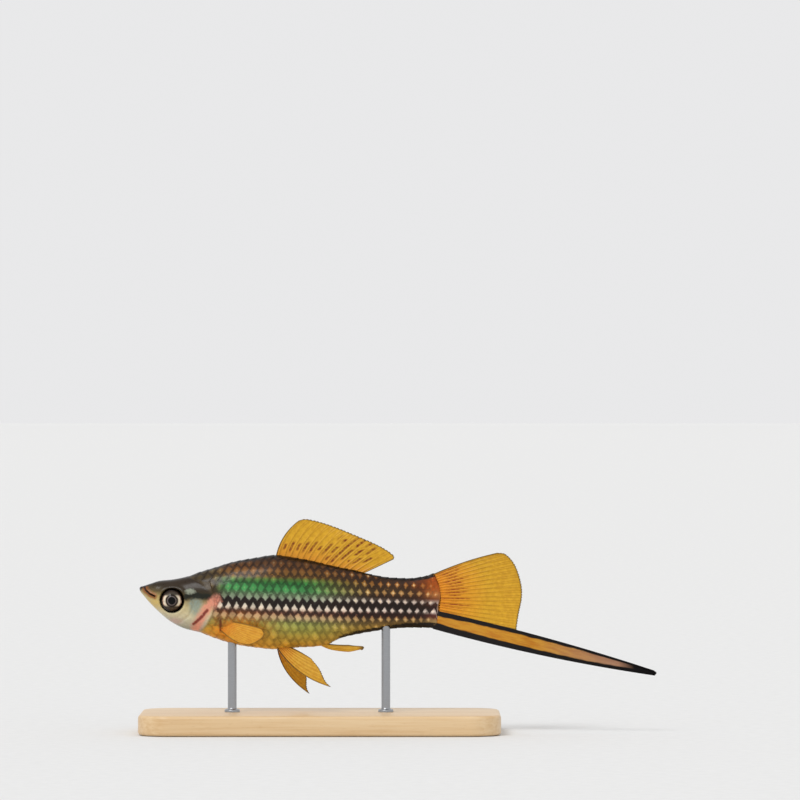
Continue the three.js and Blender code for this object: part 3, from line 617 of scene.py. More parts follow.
# Markings laid over the colour, among them a painted highlight behind the eye, painted shade in the
# mouth's slit and a painted shadow at the pectoral fin's root.
for name, hue, strength, softness in MARK_COLOURS:
    mark = add(tree, "Attribute", {}, "Fac", attribute_name=name)
    mark = add(tree, "Math", {0: mark, 1: ragged, 2: mark}, operation="MULTIPLY_ADD")
    mark = add(tree, "MapRange", {0: mark, 1: 0.5 - softness, 2: 0.5 + softness, 4: strength})
    colour = add(tree, "Mix", {0: mark, 6: colour, 7: linear(hue)}, 2, data_type="RGBA")
bright = add(tree, "Math", {0: tone, 1: mottle}, operation="ADD")
bright = add(tree, "MapRange", {0: bright, 1: 0.3, 2: 1.7, 3: 0.6, 4: 1.3})
colour = add(tree, "VectorMath", {0: colour, "Scale": bright}, operation="SCALE")
tree.links.new(colour, shader.inputs["Base Color"])
silver = add(tree, "MapRange", {0: diamond, 1: 0.1, 2: 0.6, 3: 0.22, 4: 0.0})
silver = add(tree, "Math", {0: silver, 1: body_only}, operation="MULTIPLY")
tree.links.new(silver, shader.inputs["Metallic"])
gloss = add(tree, "MapRange", {0: mottle, 1: 0.3, 2: 0.7, 3: 0.27, 4: 0.42})
tree.links.new(gloss, shader.inputs["Roughness"])
grain = add(tree, "TexNoise", {"Vector": place, "Scale": 1 / GRAIN_SIZE, "Detail": 3.0})
relief = add(tree, "Bump", {"Height": grain, "Strength": 0.15, "Distance": 0.03 * MM})
tree.links.new(relief, shader.inputs["Normal"])
dress(skin, scaled_skin, "flesh", "head", "lower_jaw", "torso", "tail_stem")

# Scales: thin, hard, rounded plates in lengthwise rows, set like roof tiles. Each has its
# front edge in the skin and its free rear edge over the scales behind it.
SCALE_LENGTH, SCALE_THICKNESS, SCALE_CROWN = 3.3, 0.05, 0.05
SCALE_ROOT_LIFT, SCALE_TIP_LIFT = -0.07, 0.12
# Shares of the row's pitch, of the plate's length, and of its greatest width.
SCALE_HALF_HEIGHT, SCALE_SHOULDER, SCALE_ROOT_WIDTH = 0.57, 0.45, 0.8
SIZE_SPREAD, PLACE_SPREAD = 0.05, 0.07
ROWS_UP, ROWS_DOWN, SCALES_IN_ROW = 9, 8, 36
FIRST_ROOT, HEAD_MARGIN, TAIL_MARGIN, MIDLINE_MARGIN = 9.5, 0.3, 0.9, 0.3
PATCH_SIZE, MAP_LENGTH, MAP_HALF_HEIGHT = 0.003, 80, 0.49

# One plate, whose points crowd towards its rounded rear edge: t runs along it, q across it
# and z through it.
bpy.ops.object.select_all(action="DESELECT")
bpy.ops.mesh.primitive_grid_add(x_subdivisions=5, y_subdivisions=4, size=2)
plate = named("one_scale")
flat = coordinates(plate)
t = ((flat[:, 0] + 1) / 2) ** 0.75
rear_round = np.sqrt(np.clip(1 - ((t - SCALE_SHOULDER) / (1.01 - SCALE_SHOULDER)) ** 2, 0, 1))
front_round = SCALE_ROOT_WIDTH + (1 - SCALE_ROOT_WIDTH) * smoothstep(0, SCALE_SHOULDER, t)
q = flat[:, 1] * np.where(t < SCALE_SHOULDER, front_round, rear_round)
move_to(plate, np.stack([t, q, 0 * t], axis=-1))
thick = plate.modifiers.new("thickness", "SOLIDIFY")
thick.thickness = 1
bpy.ops.object.modifier_apply(modifier="thickness")
t, q, z = (axis[None, :] for axis in coordinates(plate).T)
plate_faces = np.array([list(face.vertices) for face in plate.data.polygons])
bpy.data.objects.remove(plate)

# The rows of both flanks, each half a pitch off the next, and one row each along the back
# and the belly.
roots = []
for row_number in range(-ROWS_DOWN, ROWS_UP + 1):
    for s0 in FIRST_ROOT + SCALE_PITCH * (np.arange(SCALES_IN_ROW) + 0.5 * (row_number % 2)):
        pitch = float(column(ROW_PITCH, 1, s0))
        around = np.interp(s0, SURVEY_S, PALE_ROUND) - row_number * pitch
        girth = np.interp(s0, SURVEY_S, HALF_GIRTH)
        if MIDLINE_MARGIN * pitch < around < girth - MIDLINE_MARGIN * pitch:
            roots += [(s0, around, pitch, -1), (s0, around, pitch, 1)]
for s0 in FIRST_ROOT + SCALE_PITCH * np.arange(SCALES_IN_ROW):
    pitch = float(column(ROW_PITCH, 1, s0))
    roots += [(s0, 0.0, pitch, 1), (s0, np.interp(s0, SURVEY_S, HALF_GIRTH), pitch, 1)]
roots = np.array(roots)
root_angle = read_table(ANGLE_OF_ROUND, SURVEY_S, ROUND_STEPS, roots[:, 0], roots[:, 1])
_, root_h = body_point(roots[:, 0], root_angle, 0.0)
behind_head = roots[:, 0] > on_line(FIRST_SCALES, root_h) + HEAD_MARGIN
roots = roots[behind_head & (roots[:, 0] < TAIL_END - TAIL_MARGIN)]
chance = np.random.default_rng(7)
s0, around0, pitch, side = (value[:, None] for value in roots.T)
size = 1 + SIZE_SPREAD * chance.standard_normal(s0.shape)
size = size * (1 - 0.4 * smoothstep(68, TAIL_END, s0))
s0 = s0 + PLACE_SPREAD * chance.standard_normal(s0.shape)
tone = chance.random(s0.shape)
s = s0 + (t - 0.5) * SCALE_LENGTH * size
way = around0 - q * SCALE_HALF_HEIGHT * pitch * size
girth = np.interp(s, SURVEY_S, HALF_GIRTH)
past_belly = way > girth
around = np.where(past_belly, 2 * girth - way, np.abs(way))
angle = read_table(ANGLE_OF_ROUND, SURVEY_S, ROUND_STEPS, s, around)
turn = side * np.where(past_belly, 2 * np.pi - angle, np.sign(way) * angle)
rise = (SCALE_TIP_LIFT - SCALE_ROOT_LIFT) * (1 - 0.5 * smoothstep(68, TAIL_END, s0))
lift = SCALE_ROOT_LIFT + rise * t - SCALE_CROWN * q**2
y, h = body_point(s, turn, SKIN_DEPTH - SCALE_DEPTH + lift + SCALE_THICKNESS * z)
points = place_of(swept_to_tail(s, h), y, h)
faces = plate_faces[None] + t.size * np.arange(len(roots))[:, None, None]
mesh = bpy.data.meshes.new("scales")
mesh.from_pydata(points.reshape(-1, 3).tolist(), [], faces.reshape(-1, 4).tolist())
scales = bpy.data.objects.new("scales", mesh)
bpy.context.collection.objects.link(scales)
_, plain_h = body_point(s, turn, 0.0)
marks = markings(s, plain_h, around)
marks.update({"Scale_along": t, "Scale_across": q, "Tone": tone})
set_attributes(scales, marks, s.shape)
# Each plate has its own small patch, at its root's place on the skin opened along the belly.
patch_u = s0 / MAP_LENGTH + (t - 0.5) * PATCH_SIZE
patch_v = 0.5 + side * around0 / HALF_GIRTH.max() * MAP_HALF_HEIGHT + q * PATCH_SIZE / 2
patches = np.stack([patch_u, patch_v], axis=-1).reshape(-1, 2)
corners = np.empty(len(mesh.loops), dtype=np.int32)
mesh.loops.foreach_get("vertex_index", corners)
bake_map = mesh.uv_layers.new(name="OFBake")
bake_map.data.foreach_set("uv", patches[corners].astype(np.float32).ravel())
bpy.ops.object.select_all(action="DESELECT")
scales.select_set(True)
bpy.context.view_layer.objects.active = scales
bpy.ops.object.mode_set(mode="EDIT")
bpy.ops.mesh.select_all(action="SELECT")
bpy.ops.mesh.normals_make_consistent(inside=False)
bpy.ops.object.mode_set(mode="OBJECT")
bpy.ops.object.shade_smooth_by_angle(angle=math.radians(50))
dress(scales, scaled_skin, "flesh")

# Eyes: large wet balls with a clear cornea, a round black pupil in a thin pale ring, and a
# silver iris that is tinged with cream and pink and is dark above and below.
CORNEA_RISE, CORNEA_RADIUS = 0.28, 1.7
# Colours of the pupil and the iris, by distance from the eye's axis.
IRIS_RINGS = [
    (0.0, "#020101"), (0.9, "#040303"), (1.04, "#6f6562"), (1.2, "#4c433f"), (1.32, "#120b09"),
    (1.5, "#3a2c22"), (1.66, "#d8c8ac"), (1.95, "#f2e6cf"), (2.22, "#e0b898"), (2.42, "#2a1a10"),
    (2.75, "#0b0705"),
]
IRIS_SHADE = "#1d130d"
IRIS_STREAK = 0.7 * MM

# Wet eye: a clear, glossy film over the iris, whose pigment is streaked outwards.
wet_eye, tree, shader = new_finish(
    "wet_eye", Roughness=0.2, Specular_IOR_Level=0.0, Coat_Weight=0.3, Coat_Roughness=0.03
)
place = add(tree, "TexCoord", {}, "Object")
from_axis, above = (
    add(tree, "Attribute", {}, "Fac", attribute_name=name) for name in ("Radius", "Above")
)
streaks = add(tree, "TexNoise", {"Vector": place, "Scale": 1 / IRIS_STREAK, "Detail": 4.0})
wander = add(tree, "MapRange", {0: streaks, 1: 0.25, 2: 0.75, 3: -0.09, 4: 0.09})
ring = add(tree, "Math", {0: from_axis, 1: wander}, operation="ADD")
ring = add(tree, "MapRange", {0: ring, 1: 0.0, 2: EYE_RADIUS})
iris = add(tree, "ValToRGB", {0: ring}, stops=[(r / EYE_RADIUS, hue) for r, hue in IRIS_RINGS])
pole = add(tree, "Math", {0: above}, operation="ABSOLUTE")
sockets = {0: pole, 1: 0.9, 2: 1.6, 3: 0, 4: 0.94}
pole = add(tree, "MapRange", sockets, interpolation_type="SMOOTHSTEP")
iris = add(tree, "Mix", {0: pole, 6: iris, 7: linear(IRIS_SHADE)}, 2, data_type="RGBA")
streak = add(tree, "MapRange", {0: streaks, 1: 0.4, 2: 0.75, 3: 1.1, 4: 0.6})
iris = add(tree, "VectorMath", {0: iris, "Scale": streak}, operation="SCALE")
tree.links.new(iris, shader.inputs["Base Color"])
glint = add(tree, "MapRange", {0: from_axis, 1: 1.5, 2: 1.9, 3: 0.0, 4: 0.3})
tree.links.new(glint, shader.inputs["Metallic"])

for side in ("left", "right"):
    low, high = (np.array(corner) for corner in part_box(f"eye_{side}"))
    outward = -1 if side == "left" else 1
    middle = (low + high) / 2
    middle[1] = (high if side == "left" else low)[1] + outward * EYE_HALF_DEPTH * MM
    bpy.ops.object.select_all(action="DESELECT")
    bpy.ops.mesh.primitive_uv_sphere_add(segments=72, ring_count=48, radius=1)
    eye = named(f"eyeball_{side}")
    ball = coordinates(eye)
    shaped = ball * [EYE_RADIUS, EYE_HALF_DEPTH, EYE_RADIUS]
    radius = np.hypot(shaped[:, 0], shaped[:, 2])
    facing_out = smoothstep(0, 0.5, ball[:, 1] * outward)
    shaped[:, 1] += outward * CORNEA_RISE * bump(radius, CORNEA_RADIUS) * facing_out
    move_to(eye, shaped * MM + middle)
    set_attributes(eye, {"Radius": radius, "Above": shaped[:, 2]}, radius.shape)
    bpy.ops.object.shade_smooth()
    dress(eye, wet_eye, "eye", f"eye_{side}")

# Median fins: a thin golden membrane over soft jointed rays, which fork towards the edge.
# Each fin is one sheet, thickened over its rays, with its root sunk in the back or the tail.
RAY_THICKNESS, WEB_THICKNESS, EDGE_THINNING = 0.5, 0.16, 0.55
# Across the fin, in spaces between rays: the half widths, and how far a ray's forks spread.
RAY_WIDTH, RAY_NARROWING, OUTER_RAY_WIDTH = 0.17, 0.11, 0.16
FORK_SPREAD, TWIG_SPREAD = 0.25, 0.12
COLUMNS_PER_RAY, CURVE_STEPS = 14, 24
EDGE_NOTCH = 0.2
JOINT_SPACING = 0.6
STREAK_SPREAD = 0.4
BLOTCH_SIZE = 0.9 * MM
SPECKLE_SIZE = 0.22 * MM


def curve_points(points, shares):
    """Points at shares of the length of a smooth curve through a few (s, h) points."""
    points = np.array(points, dtype=float)
    ends = np.vstack([2 * points[0] - points[1], points, 2 * points[-1] - points[-2]])
    t = np.linspace(0, 1, CURVE_STEPS, endpoint=False)[:, None]
    path = []
    for a, b, c, d in zip(ends, ends[1:], ends[2:], ends[3:]):
        square, cube = 2 * a - 5 * b + 4 * c - d, 3 * b - a - 3 * c + d
        path.append(0.5 * (2 * b + (c - a) * t + square * t**2 + cube * t**3))
    path = np.vstack([*path, points[-1:]])
    run = np.concatenate([[0], np.cumsum(np.hypot(*np.diff(path, axis=0).T))])
    at = np.asarray(shares) * run[-1]
    return np.stack([np.interp(at, run, path[:, 0]), np.interp(at, run, path[:, 1])], axis=-1)


def fin(
    name, root, margin, bow, rays, rows, place, streaks=(), forks=(0.42, 0.74), thick=RAY_THICKNESS
):
    """A rayed fin between its root and its edge, two lines of points from front to rear.

    The bow is how far the front and rear rays arch forward, and place puts the points of the
    fin's plane in the fish. Streaks are marks between the rays, each a line and a half width,
    and forks are the shares of its length at which a ray forks and forks again.
    """
    bpy.ops.object.select_all(action="DESELECT")
    bpy.ops.mesh.primitive_grid_add(
        x_subdivisions=rows, y_subdivisions=rays * COLUMNS_PER_RAY, size=1
    )
    piece = named(name)
    grid = coordinates(piece)
    u, v = grid[:, 0] + 0.5, grid[:, 1] + 0.5
    from_ray = np.abs(np.mod(v * rays, 1) - 0.5)
    fork = FORK_SPREAD * smoothstep(forks[0], 1.15, u)
    twig = TWIG_SPREAD * smoothstep(forks[1], 1.2, u)
    width = RAY_WIDTH - RAY_NARROWING * smoothstep(0, 0.8, u)
    crest = bump(np.minimum(v, 1 - v) * rays, OUTER_RAY_WIDTH)
    for sign in (-1, 1):
        crest = np.maximum(crest, bump(from_ray - fork - sign * twig, width))

    def flat_point(u, v):
        start, end = curve_points(root, v), curve_points(margin, v)
        along = end - start
        forward = np.stack([-along[:, 1], along[:, 0]], axis=-1)
        forward /= np.hypot(*forward.T)[:, None]
        arch = (bow[0] + (bow[1] - bow[0]) * v) * 4 * u * (1 - u)
        return start + along * u[:, None] + forward * arch[:, None], np.hypot(*along.T)

    _, length = flat_point(u, v)
    flat, _ = flat_point(u - (1 - crest) * EDGE_NOTCH / length * smoothstep(0.9, 1, u), v)
    chord = np.hypot(*(flat_point(u, 0 * v)[0] - flat_point(u, 0 * v + 1)[0]).T)
    move_to(piece, place(flat[:, 0], flat[:, 1], u, v))
    wanted = (WEB_THICKNESS + (thick - WEB_THICKNESS) * crest) * (1 - EDGE_THINNING * u) / thick
    group = piece.vertex_groups.new(name="thickness")
    for i, weight in enumerate(wanted):
        group.add([i], float(weight), "REPLACE")
    streak = np.zeros(len(u))
    uneven = 1 + STREAK_SPREAD * np.random.default_rng(rays).standard_normal(rays + 1)
    uneven = np.clip(uneven, 0.5, 1.6)[np.floor(v * rays + 0.5).astype(int)]
    for line, half_width in streaks:
        near = distance_to(line, *flat.T) / half_width / uneven
        streak = np.maximum(streak, 1 - smoothstep(0.5, 1.15, near))
    values = {
        "Ray": crest,
        "Reach": u,
        "From_front": v * chord,
        "From_rear": (1 - v) * chord,
        "Along_ray": u * length,
        "Edge": np.minimum(np.minimum(v, 1 - v) * chord, (1 - u) * length),
        "Streak": streak * smoothstep(0.22, 0.4, from_ray),
    }
    set_attributes(piece, values, u.shape)
    solid = piece.modifiers.new("membrane", "SOLIDIFY")
    solid.thickness = thick * MM
    solid.offset = 0
    solid.vertex_group = "thickness"
    bpy.ops.object.modifier_apply(modifier="membrane")
    piece.vertex_groups.clear()
    bpy.ops.object.shade_smooth()
    return piece


def fin_finish(name, web, ray, root, edge, streak, root_reach=0.45):
    """Moist fin membrane: satin, warm at its root, with darker jointed rays and a dark edge.

    Its fine speckle is drawn coarser than real, to show.
    """
    material, tree, shader = new_finish(
        name, IOR=1.38, Roughness=0.4, Specular_IOR_Level=0.3, Coat_Weight=0.08, Coat_Roughness=0.2
    )
    place = add(tree, "TexCoord", {}, "Object")
    reach, crest, run, rim, mark = (
        add(tree, "Attribute", {}, "Fac", attribute_name=attribute)
        for attribute in ("Reach", "Ray", "Along_ray", "Edge", "Streak")
    )
    mottle = add(tree, "TexNoise", {"Vector": place, "Scale": 1 / BLOTCH_SIZE, "Detail": 5.0})
    speckle = add(tree, "TexNoise", {"Vector": place, "Scale": 1 / SPECKLE_SIZE, "Detail": 2.0})
    tint = add(tree, "MapRange", {0: mottle, 1: 0.3, 2: 0.7}, interpolation_type="SMOOTHSTEP")
    colour = add(tree, "Mix", {0: tint, 6: linear(web[0]), 7: linear(web[1])}, 2, data_type="RGBA")
    warm = add(tree, "MapRange", {0: reach, 1: 0.0, 2: root_reach, 3: 0.85, 4: 0.0})
    colour = add(tree, "Mix", {0: warm, 6: colour, 7: linear(root)}, 2, data_type="RGBA")
    joint = add(tree, "Math", {0: run, 1: JOINT_SPACING / 2}, operation="PINGPONG")
    joint = add(tree, "MapRange", {0: joint, 1: 0.0, 2: 0.1, 3: 0.9, 4: 0.55})
    fade = add(tree, "MapRange", {0: reach, 1: 0.2, 2: 0.95, 3: 1.0, 4: 0.35})
    line = add(tree, "MapRange", {0: crest, 1: 0.25, 2: 0.9}, interpolation_type="SMOOTHSTEP")
    for part in (joint, fade):
        line = add(tree, "Math", {0: line, 1: part}, operation="MULTIPLY")
    colour = add(tree, "Mix", {0: line, 6: colour, 7: linear(ray)}, 2, data_type="RGBA")
    ragged = add(tree, "MapRange", {0: mottle, 1: 0.3, 2: 0.6, 3: 0.35, 4: 1})
    mark = add(tree, "Math", {0: mark, 1: ragged}, operation="MULTIPLY")
    colour = add(tree, "Mix", {0: mark, 6: colour, 7: linear(streak)}, 2, data_type="RGBA")
    rim = add(tree, "MapRange", {0: rim, 1: 0.12, 2: 0.42, 3: 0.85, 4: 0.0})
    colour = add(tree, "Mix", {0: rim, 6: colour, 7: linear(edge)}, 2, data_type="RGBA")
    tree.links.new(colour, shader.inputs["Base Color"])
    relief = add(tree, "Bump", {"Height": speckle, "Strength": 0.2, "Distance": 0.04 * MM})
    tree.links.new(relief, shader.inputs["Normal"])
    return material


def upright(wave, rate, phase=0.0):
    """Stands a fin on the fish's middle plane, with a slight wave towards its edge."""
    return lambda s, h, u, v: place_of(s, wave * u * u * np.sin(rate * v + phase), h)


DORSAL_START, DORSAL_END, DORSAL_SUNK = 34.0, 55.3, 0.9
dorsal_s = np.linspace(DORSAL_START, DORSAL_END, 4)
dorsal = fin(
    "dorsal_fin_rays",
    list(zip(dorsal_s, column(SECTIONS, 1, dorsal_s) - DORSAL_SUNK)),
    [
        (39.9, 16.9), (42.1, 17.25), (47.6, 15.8), (55.1, 12.8), (60.4, 10.4), (63.5, 8.3),
        (63.6, 7.2),
    ],
    bow=(1.15, 0),
    rays=15,
    rows=48,
    place=upright(wave=0.5, rate=5),
    streaks=[
        ([(35.4, 10.4), (43, 10.2), (50.6, 9.4)], 1.3),
        ([(51.0, 11.7), (57.4, 10.8)], 1.15),
        ([(46.9, 7.4), (52, 8.4), (59.0, 9.5)], 0.9),
        ([(52.5, 6.6), (57.6, 7.2)], 0.7),
    ],
)
golden = ("#d8a527", "#c8941f")
dorsal_finish = fin_finish(
    "golden_dorsal_membrane", golden, "#a87316", "#dd8a28", "#4c4420", "#6e260c"
)
dress(dorsal, dorsal_finish, "fin", "dorsal_fin")

caudal = fin(
    "tail_fin_rays",
    [(72.6, 3.1), (74.2, 1.0), (74.5, -1.0), (74.3, -3.0), (73.7, -5.9)],
    [(89.5, 8.8), (91.7, 8.4), (94.0, 5.7), (95.5, 1.2), (95.7, -2.5), (94.9, -6.6), (94.3, -10.5)],
    bow=(0.5, -0.35),
    rays=17,
    rows=52,
    place=upright(wave=0.7, rate=4, phase=-0.6),
    streaks=[([(77.6, 3.8), (78.8, 2.2), (79.2, 0.2), (78.8, -2.0)], 3.4)],
    forks=(0.3, 0.6),
)
caudal_finish = fin_finish(
    "golden_tail_membrane", golden, "#a8741a", "#e78a1e", "#5a4c20", "#8a3a0e", root_reach=0.6
)
dress(caudal, caudal_finish, "fin", "caudal_fin")

# Sword: the long lowest rays of the tail fin, side by side and unforked, golden yellow
# between a thin black upper edge and a broader black lower edge that meet at the tip.
SWORD_SLOPE, SWORD_STRETCH = math.radians(13), (6, 1, 1)
SWORD_GOLD = [(0.38, "#e2ae33"), (0.62, "#c98a22")]
SWORD_PINK, SWORD_RAY, SWORD_BLACK = "#c09a84", "#b0601c", "#0d0707"
UPPER_BLACK, LOWER_BLACK = (1.3, 0.75), (1.75, 0.9)
SWORD_MOTTLE = 0.6 * MM
SWORD_BEND = 1.2
sword = fin(
    "sword_rays",
    [(72.9, -5.35), (73.3, -10.2)],
    [(128.6, -20.55), (LENGTH - 0.1, -21.2), (128.8, -21.85)],
    bow=(0.75, -0.9),
    rays=6,
    rows=150,
    place=lambda s, h, u, v: place_of(s, -SWORD_BEND * u * u, h),
    forks=(2.0, 3.0),
    thick=0.62,
)
# Black-edged membrane: the black is dense pigment, and the gold pales to pink and grey.
black_edged, tree, shader = new_finish(
    "black_edged_membrane", IOR=1.38, Roughness=0.36, Specular_IOR_Level=0.3, Coat_Weight=0.1
)
place = add(tree, "TexCoord", {}, "Object")
reach, crest, from_front, from_rear = (
    add(tree, "Attribute", {}, "Fac", attribute_name=name)
    for name in ("Reach", "Ray", "From_front", "From_rear")
)
sockets = {"Vector": place, "Rotation": (0, SWORD_SLOPE, 0), "Scale": SWORD_STRETCH}
place = add(tree, "Mapping", sockets, vector_type="TEXTURE")
mottle = add(tree, "TexNoise", {"Vector": place, "Scale": 1 / SWORD_MOTTLE, "Detail": 4.0})
gold = add(tree, "ValToRGB", {0: mottle}, stops=SWORD_GOLD)
paling = add(tree, "MapRange", {0: reach, 1: 0.45, 2: 0.8, 3: 0.0, 4: 0.9})
gold = add(tree, "Mix", {0: paling, 6: gold, 7: linear(SWORD_PINK)}, 2, data_type="RGBA")
crest = add(tree, "MapRange", {0: crest, 1: 0.25, 2: 0.9, 3: 0.0, 4: 0.5})
gold = add(tree, "Mix", {0: crest, 6: gold, 7: linear(SWORD_RAY)}, 2, data_type="RGBA")
ragged = add(tree, "MapRange", {0: mottle, 1: 0.3, 2: 0.7, 3: -0.12, 4: 0.12})
black = 0.0
for distance, (at_root, at_tip) in ((from_front, UPPER_BLACK), (from_rear, LOWER_BLACK)):
    width = add(tree, "MapRange", {0: reach, 1: 0.05, 2: 0.7, 3: at_root, 4: at_tip})
    inside = add(tree, "Math", {0: width, 1: distance}, operation="SUBTRACT")
    inside = add(tree, "Math", {0: inside, 1: ragged}, operation="ADD")
    inside = add(tree, "MapRange", {0: inside, 1: -0.12, 2: 0.12})
    black = add(tree, "Math", {0: black, 1: inside}, operation="MAXIMUM")
tip = add(tree, "MapRange", {0: reach, 1: 0.83, 2: 0.9})
black = add(tree, "Math", {0: black, 1: tip}, operation="MAXIMUM")
colour = add(tree, "Mix", {0: black, 6: gold, 7: linear(SWORD_BLACK)}, 2, data_type="RGBA")
tree.links.new(colour, shader.inputs["Base Color"])
relief = add(tree, "Bump", {"Height": mottle, "Strength": 0.15, "Distance": 0.05 * MM})
tree.links.new(relief, shader.inputs["Normal"])
dress(sword, black_edged, "sword", "sword")

# Gonopodium: the male's front anal rays, thickened into a grooved rod with a small hook.
GONOPODIUM_LINE = [(44.6, -13.6), (47.8, -14.7), (52.5, -15.1), (56.2, -14.85)]
GONOPODIUM_HALF_HEIGHT = [0.5, 0.75, 0.9, 0.3]
GONOPODIUM_HALF_WIDTH = [0.6, 0.6, 0.5, 0.25]
ROUND_START, ROUND_TIP = 0.05, 0.06
GROOVE_LEVEL, GROOVE_WIDTH, GROOVE_DEPTH = 0.35, 0.16, 0.13
HOOK_DEPTH, HOOK_PLACE, HOOK_WIDTH = 0.3, 0.96, 0.03
bpy.ops.object.select_all(action="DESELECT")
bpy.ops.mesh.primitive_uv_sphere_add(segments=48, ring_count=60, radius=1)
gonopodium = named("gonopodium_rays")
ball = coordinates(gonopodium)
t = np.arccos(np.clip(ball[:, 2], -1, 1)) / np.pi
turn = np.arctan2(ball[:, 1], ball[:, 0])
middle = curve_points(GONOPODIUM_LINE, t)
stations = np.linspace(0, 1, 4)
up = np.cos(turn)
rounded = np.sqrt(np.clip(1 - (np.maximum(t - 1 + ROUND_TIP, 0) / ROUND_TIP) ** 2, 0, 1))
rounded = rounded * np.sqrt(np.clip(t / ROUND_START, 0, 1))
grooves = bump(up - GROOVE_LEVEL, GROOVE_WIDTH) + bump(up + GROOVE_LEVEL, GROOVE_WIDTH)
grooved = rounded * (1 - GROOVE_DEPTH * grooves)
half_height = np.interp(t, stations, GONOPODIUM_HALF_HEIGHT) * grooved
half_width = np.interp(t, stations, GONOPODIUM_HALF_WIDTH) * grooved
hook = HOOK_DEPTH * bump(t - HOOK_PLACE, HOOK_WIDTH) * np.clip(up, -1, 0) * rounded
h = middle[:, 1] + half_height * up + hook
move_to(gonopodium, place_of(middle[:, 0], half_width * np.sin(turn), h))
values = {
    "Ray": np.clip(grooves, 0, 1),
    "Reach": 0.3 + 0.7 * t,
    "Along_ray": 12 * t,
    "Edge": np.minimum(3 * (1 - t), 0.8 * (1 - up)),
    "Streak": 0 * t,
}
set_attributes(gonopodium, values, t.shape)
bpy.ops.object.shade_smooth()
paired_finish = fin_finish(
    "golden_paired_membrane", ("#d3a232", "#c69026"), "#9a6618", "#d98a2c", "#4a3a18", "#7a330f"
)
dress(gonopodium, paired_finish, "fin", "gonopodium")

# Paired fins: the pelvic fins hang under the belly, the right one lower and wider than the
# left one, and the pectoral fins stand off the shoulders behind the gill covers.
PELVIC_S, PELVIC_H, PELVIC_ASIDE = 33.9, -15.0, 1.2
PELVIC_TURNS = {"left": (-1, 0, 20), "right": (1, 25, 38)}


def hung(side, droop, splay):
    """Places a pelvic fin, turned down by its droop and out by its splay."""
    turn, lean = math.radians(droop), math.radians(splay)

    def place(along, up, u, v):
        s = PELVIC_S + along * math.cos(turn) + up * math.sin(turn)
        h = up * math.cos(turn) - along * math.sin(turn)
        curl = 0.5 * u * u * np.sin(3 * v)
        y = PELVIC_ASIDE - h * math.sin(lean) + curl * math.cos(lean)
        return place_of(s, side * y, PELVIC_H + h * math.cos(lean) + curl * math.sin(lean))

    return place


for name, turns in PELVIC_TURNS.items():
    pelvic = fin(
        f"pelvic_fin_rays_{name}",
        [(0, 0.9), (2.6, 0.9)],
        [(14.1, -10.2), (12.7, -8.7), (11.2, -5.6), (9.1, -2.8)],
        bow=(-1.8, 0.2),
        rays=7,
        rows=44,
        place=hung(*turns),
    )
    dress(pelvic, paired_finish, "fin", f"pelvic_fin_{name}")

PECTORAL_S, PECTORAL_H, PECTORAL_SUNK = 20.5, -9.2, 0.7
PECTORAL_FLARE, PECTORAL_CURL = math.tan(math.radians(24)), 0.015
shoulder_y, shoulder_h = body_point(PECTORAL_S, SURVEY_ANGLE, 0.0)
PECTORAL_ASIDE = np.interp(-PECTORAL_H, -shoulder_h, shoulder_y) - PECTORAL_SUNK


def flared(side):
    """Places a pectoral fin, which stands off the shoulder and curls back in."""

    def place(along, up, u, v):
        out = PECTORAL_ASIDE + along * PECTORAL_FLARE - PECTORAL_CURL * along**2
        return place_of(PECTORAL_S + along, side * out, PECTORAL_H + up)

    return place


pectoral_finish = fin_finish(
    "amber_pectoral_membrane", ("#dda436", "#d0902a"), "#a86a1c", "#e0801c", "#7a5a22", "#7a330f"
)
for name, side in (("left", -1), ("right", 1)):
    pectoral = fin(
        f"pectoral_fin_rays_{name}",
        [(-0.1, 1.35), (0.05, -1.35)],
        [(10.2, -0.6), (11.0, -2.1), (9.9, -3.6), (7.4, -4.7), (4.8, -4.4)],
        bow=(0.35, -0.3),
        rays=12,
        rows=40,
        place=flared(side),
        thick=0.4,
    )
    dress(pectoral, pectoral_finish, "fin", f"pectoral_fin_{name}")

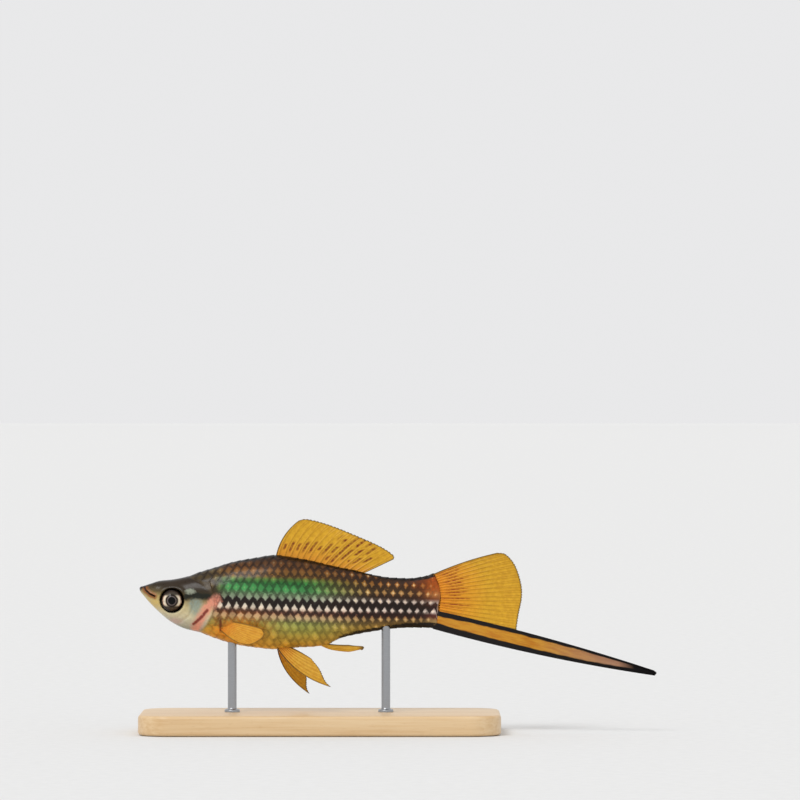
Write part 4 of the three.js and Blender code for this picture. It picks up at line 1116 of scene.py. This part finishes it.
# Studio: a wide pale board under the stand, an even pale surround, and one soft light over
# the fish's left shoulder. The board is as bright in that light as the surround.
FLOOR_SIZE, FLOOR_GAP = 40.0, 0.1 * MM
BOARD_FIBRE = 3 * MM
BOARD_WHITES = [(0.3, "#dfdfde"), (0.7, "#e3e3e2")]
LIGHT_TILT, LIGHT_TURN, LIGHT_WIDTH = math.radians(42), math.radians(-32), math.radians(25)
LIGHT_POWER = 1.25
SURROUND, SURROUND_POWER = "#fafafb", 0.85
VIEW_DISTANCE, VIEW_WIDTH, VIEW_END = 1.5, 0.2, 100
VIEW_X, VIEW_Z = 0.44 * MM, 83 * MM
bpy.ops.object.select_all(action="DESELECT")
bpy.ops.mesh.primitive_plane_add(size=FLOOR_SIZE, location=(0, 0, -FLOOR_GAP))
floor = named("studio_floor")
bpy.ops.object.transform_apply(location=True, rotation=True, scale=True)
board, tree, shader = new_finish("matt_white_board", Roughness=0.9, Specular_IOR_Level=0.1)
place = add(tree, "TexCoord", {}, "Object")
fibre = add(tree, "TexNoise", {"Vector": place, "Scale": 1 / BOARD_FIBRE, "Detail": 3.0})
paper = add(tree, "ValToRGB", {0: fibre}, stops=BOARD_WHITES)
tree.links.new(paper, shader.inputs["Base Color"])
floor.data.materials.append(board)

bpy.ops.object.light_add(type="SUN", rotation=(LIGHT_TILT, 0, LIGHT_TURN))
light = named("studio_softbox")
light.data.angle = LIGHT_WIDTH
light.data.energy = LIGHT_POWER

world = bpy.data.worlds.new("pale_surround")
bpy.context.scene.world = world
world.use_nodes = True
surround = world.node_tree.nodes["Background"]
surround.inputs["Color"].default_value = linear(SURROUND)
surround.inputs["Strength"].default_value = SURROUND_POWER
bpy.context.scene.view_settings.view_transform = "Standard"

bpy.ops.object.camera_add(location=(VIEW_X, -VIEW_DISTANCE, VIEW_Z), rotation=(math.pi / 2, 0, 0))
camera = named("side_view")
camera.data.lens = camera.data.sensor_width * VIEW_DISTANCE / VIEW_WIDTH
camera.data.clip_end = VIEW_END
bpy.context.scene.camera = camera
